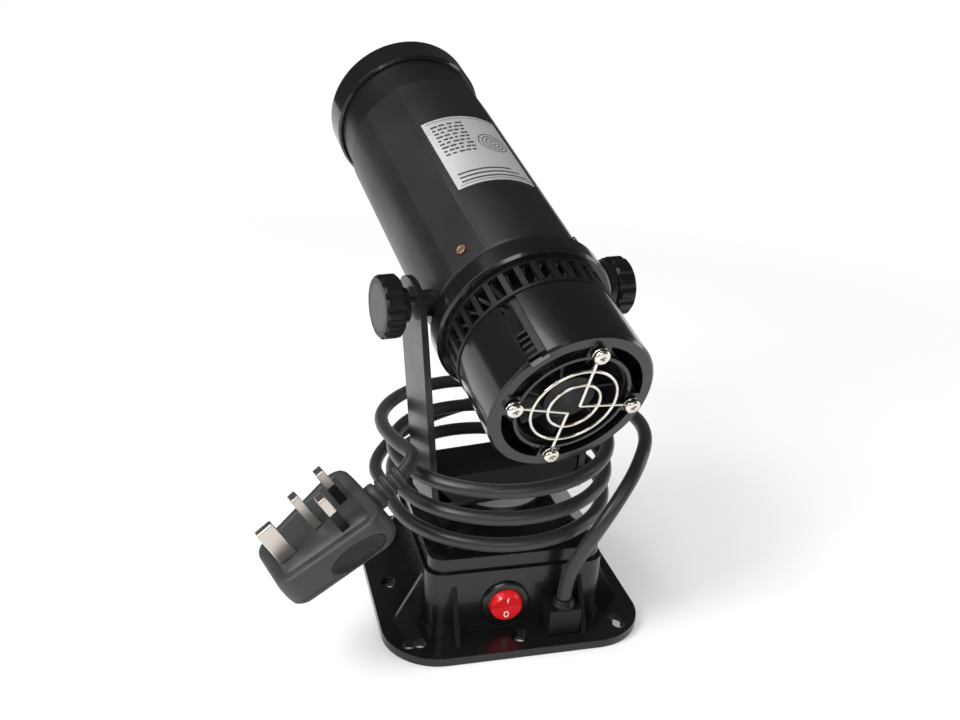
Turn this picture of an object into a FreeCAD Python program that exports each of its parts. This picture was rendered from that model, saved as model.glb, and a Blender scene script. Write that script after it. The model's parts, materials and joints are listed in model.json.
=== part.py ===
import FreeCAD, Part
import math
import os
import Sketcher

# A logo projector: a base box with a switch and a cord, a swivelling yoke and a tilting barrel.
# Millimetres. The origin is the middle of the base's underside, +Z is up and the switch faces -Y.

doc = FreeCAD.newDocument("LogoProjector")
sheet = doc.addObject("Spreadsheet::Sheet", "Sizes")
Vector = FreeCAD.Vector
Rotation = FreeCAD.Rotation
Placement = FreeCAD.Placement


# Sizes: a number together with the sheet expression that gives it

class Size:
    def __init__(self, value, text):
        self.value = float(value)
        self.text = text

    def __add__(self, other):
        other = as_size(other)
        return Size(self.value + other.value, f"({self.text} + {other.text})")

    def __radd__(self, other):
        return as_size(other) + self

    def __sub__(self, other):
        other = as_size(other)
        return Size(self.value - other.value, f"({self.text} - {other.text})")

    def __rsub__(self, other):
        return as_size(other) - self

    def __mul__(self, other):
        other = as_size(other)
        return Size(self.value * other.value, f"({self.text} * {other.text})")

    def __rmul__(self, other):
        return self * other

    def __truediv__(self, other):
        other = as_size(other)
        return Size(self.value / other.value, f"({self.text} / {other.text})")

    def __neg__(self):
        return Size(-self.value, f"(-1 * {self.text})")

    def __float__(self):
        return self.value

    def __lt__(self, other):
        return self.value < float(other)


def as_size(number):
    if isinstance(number, Size):
        return number
    return Size(number, repr(float(number)))


def cosine(angle):
    angle = as_size(angle)
    return Size(math.cos(math.radians(angle.value)), f"cos({angle.text} * 1deg)")


def sine(angle):
    angle = as_size(angle)
    return Size(math.sin(math.radians(angle.value)), f"sin({angle.text} * 1deg)")


def root(number):
    number = as_size(number)
    return Size(math.sqrt(number.value), f"sqrt({number.text})")


row = 0


def cell(name, value):
    """Writes one driving dimension into the sheet and gives it back as a Size."""
    global row
    row = row + 1
    sheet.set(f"A{row}", name)
    sheet.set(f"B{row}", str(value))
    sheet.setAlias(f"B{row}", name)
    return Size(value, f"Sizes.{name}")


# Clearances and shared values

overrun = cell("overrun", 1)
flat_gap = cell("flat_gap", 0.05)
running_gap = cell("running_gap", 0.05)

# How near counts as equal, the sketch index of an arc's centre, and a square's side to its corner

place_step = 0.01
volume_step = 1e-6
nearly_zero = 1e-9
arc_centre = 3
corner_turn = 45

# Shares of a size, and counts

rim_share = 0.4
fine_rim_share = 0.3
cup_rim_share = 0.5
knob_rim_share = 0.12
knob_flute_share = 0.45
collar_edge_share = 0.45
bezel_step_share = 0.6
bezel_slope_share = 0.5
head_top_share = 0.75
head_side_share = 0.45
boss_root_share = 0.1
facet_half_share = 1 / 3
slot_depth_share = 1.5
dome_share = 0.6
blade_rise_share = 0.4
blade_lean_share = 0.9
blade_thick_share = 0.6
blade_count = 7
bend_trim_share = 0.48
samples_per_turn = 48

# Base

plate_width = cell("plate_width", 124)
plate_thick = cell("plate_thick", 4)
plate_corner = cell("plate_corner", 26)
box_width = cell("box_width", 85)
box_top = cell("box_top", 34.5)
box_wall = cell("box_wall", 2.5)
box_corner = cell("box_corner", 8)
foot_step_out = cell("foot_step_out", 1.5)
foot_step_rise = cell("foot_step_rise", 3)
roof_wall = cell("roof_wall", 2.5)
roof_hole_radius = cell("roof_hole_radius", 24)
post_radius = cell("post_radius", 3.5)
post_inset = cell("post_inset", 9.5)
post_place = box_width / 2 - post_inset
screw_core_radius = cell("screw_core_radius", 1.1)
gusset_thick = cell("gusset_thick", 2.2)
gusset_rise = cell("gusset_rise", 24)
gusset_out = cell("gusset_out", 13)
gusset_inset = cell("gusset_inset", 12.5)
gusset_place = box_width / 2 - gusset_inset
keyhole_inset = cell("keyhole_inset", 13)
keyhole_place = plate_width / 2 - keyhole_inset
keyhole_radius = cell("keyhole_radius", 3.2)
keyhole_step = cell("keyhole_step", 5)
edge_hole_inset = cell("edge_hole_inset", 10)
edge_hole_place = plate_width / 2 - edge_hole_inset
edge_hole_radius = cell("edge_hole_radius", 2.3)
edge_sink_radius = cell("edge_sink_radius", 4.2)
edge_sink_depth = cell("edge_sink_depth", 2)
cover_thick = cell("cover_thick", 1.2)
cover_inset = cell("cover_inset", 0.6)
cover_seat = cell("cover_seat", 3)
cover_gap = cell("cover_gap", 0.15)

# Base lid and swivel

lid_inset = cell("lid_inset", 1.5)
lid_width = box_width - lid_inset * 2
lid_band_rise = cell("lid_band_rise", 7)
lid_corner = cell("lid_corner", 7)
lid_hip_rise = cell("lid_hip_rise", 9.5)
lid_hip_width = cell("lid_hip_width", 50)
lid_hip_corner = cell("lid_hip_corner", 10)
lid_wall = cell("lid_wall", 2.5)
neck_radius = cell("neck_radius", 22)
neck_rise = cell("neck_rise", 3)
washer_thick = cell("washer_thick", 0.5)
bolt_radius = cell("bolt_radius", 5)
bolt_hole_radius = cell("bolt_hole_radius", 5.05)
bolt_head_radius = cell("bolt_head_radius", 9)
bolt_head_thick = cell("bolt_head_thick", 3)
nut_radius = cell("nut_radius", 8.5)
nut_thick = cell("nut_thick", 5)

# Yoke

pivot_height = cell("pivot_height", 152)
yaw_angle = cell("yaw_angle", 9)
tilt_angle = cell("tilt_angle", 21)
strap_width = cell("strap_width", 27)
strap_thick = cell("strap_thick", 3)
arm_foot = cell("arm_foot", 38.5)

arm_round = cell("arm_round", 12.5)
block_rise = cell("block_rise", 13.5)
block_chamfer = cell("block_chamfer", 7)

# Head, measured along its axis from the pivot

body_radius = cell("body_radius", 38.5)
arm_clear = cell("arm_clear", 9.5)
arm_top = body_radius + arm_clear
body_wall = cell("body_wall", 2.5)
body_rear = cell("body_rear", -6)
body_front = cell("body_front", 126)
facet_angle = cell("facet_angle", 47)
facet_depth = cell("facet_depth", 1)
neck_step = cell("neck_step", 1.3)
neck_out_radius = body_radius - neck_step
neck_length = cell("neck_length", 33)
neck_front = body_front + neck_length
spigot_length = cell("spigot_length", 12)
ring_step = cell("ring_step", 1.1)
ring_radius = body_radius + ring_step
ring_start = cell("ring_start", 21)
ring_rear = body_front + ring_start
ring_length = cell("ring_length", 17)
ring_front = ring_rear + ring_length
ring_lip_step = cell("ring_lip_step", 2.8)
ring_lip_radius = body_radius - ring_lip_step
ring_lip = cell("ring_lip", 4)
ring_bore_end = ring_front - ring_lip

cell_wall = cell("cell_wall", 1.4)
cell_radius = body_radius - body_wall - cell_wall
cell_start = cell("cell_start", 6)
cell_rear = body_front + cell_start
cell_length = cell("cell_length", 22)
cell_travel = cell("cell_travel", 6)
lens_thick = cell("lens_thick", 12)
lens_edge = cell("lens_edge", 4)
retainer_thick = cell("retainer_thick", 2)
pin_radius = cell("pin_radius", 1.5)
holder_setback = cell("holder_setback", 30)
holder_place = body_front - holder_setback
holder_thick = cell("holder_thick", 6)
gobo_radius = cell("gobo_radius", 20)
gobo_thick = cell("gobo_thick", 1.1)
gobo_open_radius = cell("gobo_open_radius", 17)
condenser_place = cell("condenser_place", 52)
condenser_radius = cell("condenser_radius", 24)
condenser_thick = cell("condenser_thick", 12)
sink_rear = cell("sink_rear", -17)
sink_front = cell("sink_front", 16)
sink_core_radius = cell("sink_core_radius", 11)
sink_fin_gap = cell("sink_fin_gap", 5)
sink_fin_radius = body_radius - sink_fin_gap
sink_fin_thick = cell("sink_fin_thick", 1.6)
sink_fin_count = 24
led_plate_thick = cell("led_plate_thick", 3)
led_side = cell("led_side", 20)
led_thick = cell("led_thick", 2)
band_step = cell("band_step", 2.8)
band_radius = body_radius + band_step
band_groove_step = cell("band_groove_step", 1)
band_groove_radius = body_radius - band_groove_step
band_groove = cell("band_groove", 3)
band_front = body_rear - band_groove
band_rear = cell("band_rear", -20)
rib_step = cell("rib_step", 0.9)
rib_radius = body_radius - rib_step
rib_rear = cell("rib_rear", -35)
rib_count = 32
rib_wide = cell("rib_wide", 2.6)
rib_deep = cell("rib_deep", 2.4)
cup_step = cell("cup_step", 1.5)
cup_radius = body_radius - cup_step
cup_rear = cell("cup_rear", -69.5)
cup_wall = cell("cup_wall", 2)
cup_end_thick = cell("cup_end_thick", 2.5)
slot_angle = cell("slot_angle", 38.5)
slot_wide = cell("slot_wide", 8.3)
fan_side = cell("fan_side", 50)
fan_deep = cell("fan_deep", 15)
fan_bore_radius = cell("fan_bore_radius", 23.75)
fan_blade_radius = cell("fan_blade_radius", 23)
fan_hub_radius = cell("fan_hub_radius", 11.5)
fan_shaft_radius = cell("fan_shaft_radius", 1.5)
fan_screw_radius = cell("fan_screw_radius", 28.28)
fan_screw_angle = cell("fan_screw_angle", 7.5)
arc_inner_radius = cell("arc_inner_radius", 26.3)
arc_outer_radius = cell("arc_outer_radius", 31.5)
arc_land_wide = cell("arc_land_wide", 10)
guard_wire_radius = cell("guard_wire_radius", 0.75)
guard_outer_radius = cell("guard_outer_radius", 19.3)
guard_inner_radius = cell("guard_inner_radius", 11.7)
guard_stand = cell("guard_stand", 1.1)
guard_shank = cell("guard_shank", 2)
guard_eye_radius = guard_shank + guard_wire_radius + flat_gap
label_start = cell("label_start", 35)
label_length = cell("label_length", 54)
label_angle = cell("label_angle", 29)
label_thick = cell("label_thick", 0.25)
seam_screw_place = cell("seam_screw_place", 3)
seam_screw_radius = cell("seam_screw_radius", 2.4)
boss_radius = cell("boss_radius", 6)
boss_gap = cell("boss_gap", 0.3)

# Knobs

knob_radius = cell("knob_radius", 14)
knob_thick = cell("knob_thick", 8.9)
knob_flute_radius = cell("knob_flute_radius", 2.2)
knob_flute_count = 14
knob_collar_radius = cell("knob_collar_radius", 7.5)
knob_collar = cell("knob_collar", 4)
knob_disc_radius = cell("knob_disc_radius", 10.5)
knob_disc_thick = cell("knob_disc_thick", 1)
stud_radius = cell("stud_radius", 3)

# Switch and gland

switch_side = cell("switch_side", -5.4)
switch_height = cell("switch_height", 16.4)
bezel_radius = cell("bezel_radius", 11.5)
bezel_thick = cell("bezel_thick", 1.6)
switch_barrel_radius = cell("switch_barrel_radius", 9.9)
switch_depth = cell("switch_depth", 16)
rocker_radius = cell("rocker_radius", 8)
rocker_gap = cell("rocker_gap", 0.3)
rocker_swing = cell("rocker_swing", 8)
rocker_proud = cell("rocker_proud", 3.4)
gland_width = cell("gland_width", 15)
gland_gusset_gap = cell("gland_gusset_gap", 0.9)
gland_side = gusset_place - gusset_thick / 2 - gland_gusset_gap - gland_width / 2
gland_low = cell("gland_low", 4.5)
gland_high = cell("gland_high", 17)
gland_out = cell("gland_out", 12)
gland_neck_radius = cell("gland_neck_radius", 5)

# Cord and plug

cord_diameter = cell("cord_diameter", 6.5)
wrap_radius = cell("wrap_radius", 52)
wrap_low = cell("wrap_low", 50)
wrap_pitch = cell("wrap_pitch", 13.5)
wrap_turns = 2.75
plug_long = cell("plug_long", 51)
plug_wide = cell("plug_wide", 56)
prong_long = cell("prong_long", 18)


# Helpers that draw sketches and build features

def new_body(name):
    body = doc.addObject("PartDesign::Body", name)
    body.Label = name
    return body


def origin_plane(body, role):
    for feature in body.Origin.OriginFeatures:
        if feature.Role == role:
            return feature
    raise RuntimeError(f"{body.Label} has no {role}")


def new_sketch(body, role, place):
    """A sketch on an origin plane of the body, moved along the plane's normal by place."""
    place = as_size(place)
    sketch = body.newObject("Sketcher::SketchObject", f"{body.Label}_sketch")
    sketch.AttachmentSupport = [(origin_plane(body, role), "")]
    sketch.MapMode = "FlatFace"
    sketch.AttachmentOffset = Placement(Vector(0, 0, place.value), Rotation())
    if place.value != 0:
        sketch.setExpression("AttachmentOffset.Base.z", place.text)
    return sketch


def bind(sketch, kind, geometry, point, size):
    """Holds one coordinate of a sketch point, or puts the point on the axis where it is zero."""
    size = as_size(size)
    if abs(size.value) < nearly_zero:
        axis = -2 if kind == "DistanceX" else -1
        sketch.addConstraint(Sketcher.Constraint("PointOnObject", geometry, point, axis))
        return
    index = sketch.addConstraint(Sketcher.Constraint(kind, geometry, point, size.value))
    sketch.setExpression(f"Constraints[{index}]", size.text)


def draw_loop(sketch, points):
    """A closed outline of straight lines with every corner held by its two coordinates."""
    count = len(points)
    first = None
    for index in range(count):
        start = points[index]
        end = points[(index + 1) % count]
        line = sketch.addGeometry(
            Part.LineSegment(
                Vector(float(start[0]), float(start[1]), 0),
                Vector(float(end[0]), float(end[1]), 0),
            ),
            False,
        )
        if first is None:
            first = line
        else:
            sketch.addConstraint(Sketcher.Constraint("Coincident", line - 1, 2, line, 1))
        bind(sketch, "DistanceX", line, 1, start[0])
        bind(sketch, "DistanceY", line, 1, start[1])
    sketch.addConstraint(Sketcher.Constraint("Coincident", line, 2, first, 1))


def draw_ring(sketch, x, y, radius):
    radius = as_size(radius)
    centre = Vector(float(x), float(y), 0)
    circle = sketch.addGeometry(Part.Circle(centre, Vector(0, 0, 1), radius.value), False)
    bind(sketch, "DistanceX", circle, arc_centre, x)
    bind(sketch, "DistanceY", circle, arc_centre, y)
    index = sketch.addConstraint(Sketcher.Constraint("Radius", circle, radius.value))
    sketch.setExpression(f"Constraints[{index}]", radius.text)


def draw_round_box(sketch, half_x, half_y, corner):
    """A rectangle about the origin with round corners: four lines and four arcs."""
    inner_x = half_x - corner
    inner_y = half_y - corner
    corners = [
        (inner_x, inner_y, 0, (half_x, inner_y), (inner_x, half_y)),
        (-inner_x, inner_y, 90, (-inner_x, half_y), (-half_x, inner_y)),
        (-inner_x, -inner_y, 180, (-half_x, -inner_y), (-inner_x, -half_y)),
        (inner_x, -inner_y, 270, (inner_x, -half_y), (half_x, -inner_y)),
    ]
    arcs = []
    for x, y, turn, start, end in corners:
        circle = Part.Circle(Vector(float(x), float(y), 0), Vector(0, 0, 1), float(corner))
        arc = Part.ArcOfCircle(circle, math.radians(turn), math.radians(turn + 90))
        arcs.append(sketch.addGeometry(arc, False))
    for index in range(4):
        start = corners[index][4]
        end = corners[(index + 1) % 4][3]
        line = sketch.addGeometry(
            Part.LineSegment(
                Vector(float(start[0]), float(start[1]), 0),
                Vector(float(end[0]), float(end[1]), 0),
            ),
            False,
        )
        sketch.addConstraint(Sketcher.Constraint("Coincident", arcs[index], 2, line, 1))
        sketch.addConstraint(Sketcher.Constraint("Coincident", line, 2, arcs[(index + 1) % 4], 1))
        bind(sketch, "DistanceX", line, 1, start[0])
        bind(sketch, "DistanceY", line, 1, start[1])
        bind(sketch, "DistanceX", line, 2, end[0])
        bind(sketch, "DistanceY", line, 2, end[1])
    for index in range(4):
        bind(sketch, "DistanceX", arcs[index], arc_centre, corners[index][0])


def draw(sketch, shapes):
    for shape in shapes:
        if shape[0] == "loop":
            draw_loop(sketch, shape[1])
        elif shape[0] == "ring":
            draw_ring(sketch, shape[1], shape[2], shape[3])
        else:
            draw_round_box(sketch, shape[1], shape[2], shape[3])


def loop(*points):
    return ("loop", list(points))


def ring(radius, x=0, y=0):
    return ("ring", x, y, radius)


def round_box(half_x, half_y, corner):
    return ("round", half_x, half_y, corner)


def box_loop(x0, x1, y0, y1):
    return loop((x0, y0), (x1, y0), (x1, y1), (x0, y1))


def pad(body, role, start, end, *shapes):
    """Adds a prism between two places along the plane's normal."""
    sketch = new_sketch(body, role, start)
    draw(sketch, shapes)
    feature = body.newObject("PartDesign::Pad", f"{body.Label}_pad")
    feature.Profile = sketch
    length = as_size(end) - start
    feature.Length = length.value
    feature.setExpression("Length", length.text)
    body.Tip = feature
    return feature


def pocket(body, role, start, end, *shapes):
    """Cuts a prism between two places along the plane's normal."""
    sketch = new_sketch(body, role, end)
    draw(sketch, shapes)
    feature = body.newObject("PartDesign::Pocket", f"{body.Label}_pocket")
    feature.Profile = sketch
    length = as_size(end) - start
    feature.Length = length.value
    feature.setExpression("Length", length.text)
    body.Tip = feature
    cuts.append((body, feature))
    return feature


def loft(body, kind, low, high, low_shape, high_shape):
    first = new_sketch(body, "XY_Plane", low)
    draw(first, [low_shape])
    second = new_sketch(body, "XY_Plane", high)
    draw(second, [high_shape])
    feature = body.newObject(f"PartDesign::{kind}Loft", f"{body.Label}_loft")
    feature.Profile = first
    feature.Sections = [second]
    feature.Ruled = True
    body.Tip = feature
    return feature


def spin(body, points, kind="Revolution", centre=0):
    """Turns an outline of (distance, height) points round an upright line at the given distance."""
    sketch = new_sketch(body, "XZ_Plane", 0)
    centre = as_size(centre)
    draw_loop(sketch, [(centre + point[0], point[1]) for point in points])
    feature = body.newObject(f"PartDesign::{kind}", f"{body.Label}_spin")
    feature.Profile = sketch
    if centre.value == 0:
        feature.ReferenceAxis = (sketch, ["V_Axis"])
    else:
        line = sketch.addGeometry(
            Part.LineSegment(Vector(centre.value, -1, 0), Vector(centre.value, 1, 0)), True
        )
        sketch.addConstraint(Sketcher.Constraint("Vertical", line))
        bind(sketch, "DistanceX", line, 1, centre)
        feature.ReferenceAxis = (sketch, ["Axis0"])
    feature.Angle = 360
    body.Tip = feature
    if kind == "Groove":
        cuts.append((body, feature))
    return feature


def polar(body, features, count, angle=360):
    """Repeats features round the body's upright axis."""
    feature = body.newObject("PartDesign::PolarPattern", f"{body.Label}_pattern")
    feature.Originals = features
    feature.Axis = (origin_plane(body, "Z_Axis"), [""])
    set_prop(feature, "Angle", angle)
    feature.Occurrences = count
    body.Tip = feature
    return feature


def mirror(body, features, role):
    feature = body.newObject("PartDesign::Mirrored", f"{body.Label}_mirror")
    feature.Originals = features
    feature.MirrorPlane = (origin_plane(body, role), [""])
    body.Tip = feature
    return feature


def set_prop(thing, name, size):
    size = as_size(size)
    setattr(thing, name, size.value)
    thing.setExpression(name, size.text)


def cylinder(name, radius, length, placement=Placement()):
    thing = doc.addObject("Part::Cylinder", name)
    set_prop(thing, "Radius", radius)
    set_prop(thing, "Height", length)
    thing.Placement = placement
    return thing


def block(name, x, y, z, placement=Placement()):
    thing = doc.addObject("Part::Box", name)
    set_prop(thing, "Length", x)
    set_prop(thing, "Width", y)
    set_prop(thing, "Height", z)
    thing.Placement = placement
    return thing


def cut(name, base, tool):
    thing = doc.addObject("Part::Cut", name)
    thing.Base = base
    thing.Tool = tool
    return thing


def common(name, base, tool):
    thing = doc.addObject("Part::Common", name)
    thing.Base = base
    thing.Tool = tool
    return thing


def at(x, y, z, rotation=Rotation()):
    return Placement(Vector(float(x), float(y), float(z)), rotation)


def turn(axis, angle):
    return Rotation(Vector(*axis), float(angle))


cuts = []
nodes = []


def keep(thing, placement=None):
    """Lists the object as a node and puts it in its place."""
    if placement is not None:
        thing.Placement = placement
    nodes.append(thing)
    return thing


def shape_node(name, shape, placement=None):
    feature = doc.addObject("Part::Feature", name)
    feature.Label = name
    feature.Shape = shape
    return keep(feature, placement)


# Base: housing, bottom cover, lid and their screws

half_box = box_width / 2
half_plate = plate_width / 2
half_cavity = half_box - box_wall
lid_base = box_top
lid_shoulder = lid_base + lid_band_rise
neck_base = lid_shoulder + lid_hip_rise
neck_top = neck_base + neck_rise
cover_top = cover_inset + cover_thick
roof_base = box_top - roof_wall
screw_shank = screw_core_radius - flat_gap
screw_head_radius = cell("screw_head_radius", 2.6)
screw_head_thick = cell("screw_head_thick", 1.6)
cover_screw_long = cell("cover_screw_long", 10)
lid_screw_place = box_width / 2 - post_inset
lid_boss_radius = cell("lid_boss_radius", 6)
lid_screw_long = cell("lid_screw_long", 8)


def make_base_housing():
    body = new_body("base_housing")
    pad(body, "XY_Plane", 0, plate_thick, round_box(half_plate, half_plate, plate_corner))
    pad(body, "XY_Plane", plate_thick, box_top, round_box(half_box, half_box, box_corner))
    step = half_box + foot_step_out
    pad(body, "XY_Plane", plate_thick, plate_thick + foot_step_rise,
        round_box(step, step, box_corner + foot_step_out))
    foot = half_box - box_wall
    toe = half_box + gusset_out
    head = plate_thick + gusset_rise
    outline = loop((-foot, plate_thick), (-foot, head), (-half_box, head), (-toe, plate_thick))
    side = gusset_place - gusset_thick / 2
    right = pad(body, "YZ_Plane", side, side + gusset_thick, outline)
    left = pad(body, "YZ_Plane", -side - gusset_thick, -side, outline)
    polar(body, [right, left], 4)
    inner_corner = box_corner - box_wall
    pocket(body, "XY_Plane", 0, roof_base, round_box(half_cavity, half_cavity, inner_corner))
    recess = half_cavity + cover_seat
    pocket(body, "XY_Plane", 0, cover_top, round_box(recess, recess, box_corner))
    post = pad(body, "XY_Plane", cover_top, box_top - roof_wall / 2,
               ring(post_radius, post_place, post_place))
    polar(body, [post], 4)
    core = pocket(body, "XY_Plane", 0, cover_top + cover_screw_long + overrun,
                  ring(screw_core_radius, post_place, post_place))
    polar(body, [core], 4)
    pocket(body, "XY_Plane", roof_base - overrun, box_top + overrun, ring(roof_hole_radius))
    lid_hole = pocket(body, "XY_Plane", roof_base - overrun, box_top + overrun,
                      ring(screw_core_radius + flat_gap, lid_screw_place, 0))
    polar(body, [lid_hole], 4)
    keyhole = pocket(body, "XY_Plane", -overrun, plate_thick + overrun,
                     ring(keyhole_radius, keyhole_place - keyhole_step / 2, keyhole_place))
    twin = pocket(body, "XY_Plane", -overrun, plate_thick + overrun,
                  ring(keyhole_radius, keyhole_place + keyhole_step / 2, keyhole_place))
    polar(body, [keyhole, twin], 4)
    hole = pocket(body, "XY_Plane", -overrun, plate_thick + overrun,
                  ring(edge_hole_radius, edge_hole_place, 0))
    sink = pocket(body, "XY_Plane", plate_thick - edge_sink_depth, plate_thick + overrun,
                  ring(edge_sink_radius, edge_hole_place, 0))
    polar(body, [hole, sink], 4)
    pocket(body, "XZ_Plane", half_cavity - overrun, half_box + foot_step_out + overrun,
           ring(switch_barrel_radius + cover_gap, switch_side, switch_height))
    pocket(body, "XZ_Plane", half_cavity - overrun, half_box + foot_step_out + overrun,
           ring(gland_neck_radius + cover_gap, gland_side, gland_middle))
    pocket(body, "XZ_Plane", half_box, half_box + foot_step_out + overrun,
           box_loop(gland_side - gland_width / 2 - cover_gap, gland_side + gland_width / 2 + cover_gap,
                    plate_thick, gland_high + overrun))
    pocket(body, "XZ_Plane", half_box, half_box + foot_step_out + overrun,
           ring(bezel_radius + cover_gap, switch_side, switch_height))
    return keep(body)


gland_middle = (gland_low + gland_high) / 2


def make_base_cover():
    body = new_body("base_cover")
    half = half_cavity + cover_seat - cover_gap
    pad(body, "XY_Plane", cover_inset, cover_top, round_box(half, half, box_corner - cover_gap))
    stand = pad(body, "XY_Plane", cover_top, board_base, ring(stand_radius, board_half_x - stand_radius,
                                                              board_middle + board_half_y - stand_radius))
    mirror(body, [stand], "YZ_Plane")
    low = pad(body, "XY_Plane", cover_top, board_base, ring(stand_radius, board_half_x - stand_radius,
                                                            board_middle - board_half_y + stand_radius))
    mirror(body, [low], "YZ_Plane")
    hole = pocket(body, "XY_Plane", cover_inset - overrun, cover_top + overrun,
                  ring(screw_core_radius + cover_gap, post_place, post_place))
    polar(body, [hole], 4)
    return keep(body)


board_middle = cell("board_middle", 8)
board_inset_x = cell("board_inset_x", 15.5)
board_half_x = box_width / 2 - board_inset_x
board_inset_y = cell("board_inset_y", 20.5)
board_half_y = box_width / 2 - board_inset_y
board_thick = cell("board_thick", 1.6)
stand_radius = cell("stand_radius", 2.5)
stand_rise = cell("stand_rise", 4)
board_base = cover_top + stand_rise
board_top = board_base + board_thick


def screw_outline(head_radius, head_thick, shank, long, head_place, up=1):
    """A plain pan head screw; the shank runs up from the head where up is 1 and down where it is -1."""
    under = head_place + head_thick * up
    tip = under + long * up
    return [
        (as_size(0), head_place),
        (head_radius * head_top_share, head_place),
        (head_radius, head_place + head_thick * head_side_share * up),
        (head_radius, under),
        (shank, under),
        (shank, tip),
        (as_size(0), tip),
    ]


def make_cover_screws():
    body = new_body("cover_screws")
    place = post_place * root(2)
    first = spin(body, screw_outline(screw_head_radius, cover_inset - flat_gap, screw_shank,
                                     cover_screw_long, as_size(flat_gap)), centre=place)
    polar(body, [first], 4)
    return keep(body, at(0, 0, 0, turn((0, 0, 1), corner_turn)))


def make_base_lid():
    body = new_body("base_lid")
    half = lid_width / 2
    hip = lid_hip_width / 2
    pad(body, "XY_Plane", lid_base, lid_shoulder, round_box(half, half, lid_corner))
    loft(body, "Additive", lid_shoulder, neck_base, round_box(half, half, lid_corner),
         round_box(hip, hip, lid_hip_corner))
    pad(body, "XY_Plane", neck_base, neck_top, ring(neck_radius))
    inner = half - lid_wall
    inner_corner = lid_corner - lid_wall
    pocket(body, "XY_Plane", lid_base, lid_shoulder, round_box(inner, inner, inner_corner))
    loft(body, "Subtractive", lid_shoulder, neck_base - lid_wall, round_box(inner, inner, inner_corner),
         round_box(hip - lid_wall, hip - lid_wall, lid_hip_corner - lid_wall))
    boss = pad(body, "XY_Plane", lid_base, lid_shoulder + lid_wall / 2,
               ring(lid_boss_radius, lid_screw_place, 0))
    polar(body, [boss], 4)
    core = pocket(body, "XY_Plane", lid_base - overrun, lid_base + lid_screw_long - overrun,
                  ring(screw_core_radius, lid_screw_place, 0))
    polar(body, [core], 4)
    pocket(body, "XY_Plane", lid_base, neck_top + overrun, ring(bolt_hole_radius))
    return keep(body)


def make_lid_screws():
    body = new_body("lid_screws")
    long = roof_wall + lid_screw_long - overrun * 2
    first = spin(body, screw_outline(screw_head_radius, screw_head_thick, screw_shank, long,
                                     roof_base - screw_head_thick), centre=lid_screw_place)
    polar(body, [first], 4)
    return keep(body)


def make_swivel():
    washer = new_body("friction_washer")
    pad(washer, "XY_Plane", neck_top, web_base, ring(neck_radius - overrun), ring(bolt_hole_radius))
    keep(washer)
    nut_top = neck_base - lid_wall
    bolt = new_body("swivel_bolt")
    head_base = web_top + flat_gap
    spin(bolt, [(as_size(0), nut_top - nut_thick), (bolt_radius, nut_top - nut_thick),
                (bolt_radius, head_base), (bolt_head_radius, head_base),
                (bolt_head_radius, head_base + bolt_head_thick), (as_size(0), head_base + bolt_head_thick)])
    keep(bolt)
    nut = doc.addObject("Part::Prism", "swivel_nut_blank")
    nut.Polygon = 6
    set_prop(nut, "Circumradius", nut_radius)
    set_prop(nut, "Height", nut_thick)
    bore = cylinder("swivel_nut_bore", bolt_hole_radius, nut_thick)
    keep(cut("swivel_nut", nut, bore), at(0, 0, nut_top - nut_thick))


web_base = neck_top + washer_thick
web_top = web_base + strap_thick


transformer_side = cell("transformer_side", 19)
transformer_rise = cell("transformer_rise", 15)
can_radius = cell("can_radius", 5)
can_rise = cell("can_rise", 13)
can_inset = cell("can_inset", 12)
can_edge = cell("can_edge", 9.5)


def make_driver():
    board = block("driver_board", board_half_x * 2, board_half_y * 2, board_thick)
    keep(board, at(-board_half_x, board_middle - board_half_y, board_base))
    transformer = block("driver_transformer", transformer_side, transformer_side, transformer_rise)
    keep(transformer, at(-transformer_side, board_middle - transformer_side / 2, board_top))
    can_place = board_half_x - can_inset
    body = new_body("driver_capacitors")
    can_spread = board_half_y - can_edge
    for across in (board_middle - can_spread, board_middle + can_spread):
        pad(body, "XY_Plane", board_top, board_top + can_rise, ring(can_radius, can_place, across))
    pad(body, "XY_Plane", board_top, board_top + can_rise, ring(can_radius, can_place, board_middle))
    keep(body)


# Switch, seen from in front: local Z points out of the wall and local Y up

def switch_frame(angle=0):
    out = turn((1, 0, 0), 90 + angle)
    return at(switch_side, -half_box, switch_height, out)


def make_switch():
    body = new_body("switch_body")
    bore = rocker_radius + rocker_gap
    spin(body, [(as_size(0), -switch_depth), (switch_barrel_radius, -switch_depth),
                (switch_barrel_radius, as_size(0)), (bezel_radius, as_size(0)),
                (bezel_radius, bezel_thick * bezel_step_share),
                (bezel_radius - bezel_thick * bezel_slope_share, bezel_thick),
                (bore, bezel_thick), (bore, rocker_floor), (as_size(0), rocker_floor)])
    keep(body, switch_frame())
    ball = doc.addObject("Part::Sphere", "switch_rocker_ball")
    set_prop(ball, "Radius", rocker_radius)
    profile = new_body("switch_rocker_profile")
    slope = sine(rocker_swing) * rocker_radius
    reach = rocker_radius + overrun
    pad(profile, "YZ_Plane", -reach, reach,
        loop((-reach, -rocker_low), (reach, -rocker_low), (reach, rocker_proud + slope),
             (as_size(0), rocker_proud), (-reach, rocker_proud + slope)))
    paddle = common("switch_rocker_paddle", ball, profile)
    pivot_half = bore - rocker_gap / 2
    pivot = cylinder("switch_rocker_pivot", rocker_pivot_radius, pivot_half * 2)
    pivot.Placement = Placement(Vector(float(-pivot_half), 0, 0), turn((0, 1, 0), 90))
    rocker = doc.addObject("Part::Fuse", "switch_rocker")
    rocker.Base = paddle
    rocker.Tool = pivot
    keep(rocker, switch_frame(rocker_swing))
    blades = new_body("switch_terminals")
    first = pad(blades, "XY_Plane", -switch_depth - blade_long, -switch_depth,
                box_loop(blade_place - blade_thick / 2, blade_place + blade_thick / 2,
                         -blade_wide / 2, blade_wide / 2))
    mirror(blades, [first], "YZ_Plane")
    keep(blades, switch_frame())


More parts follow.
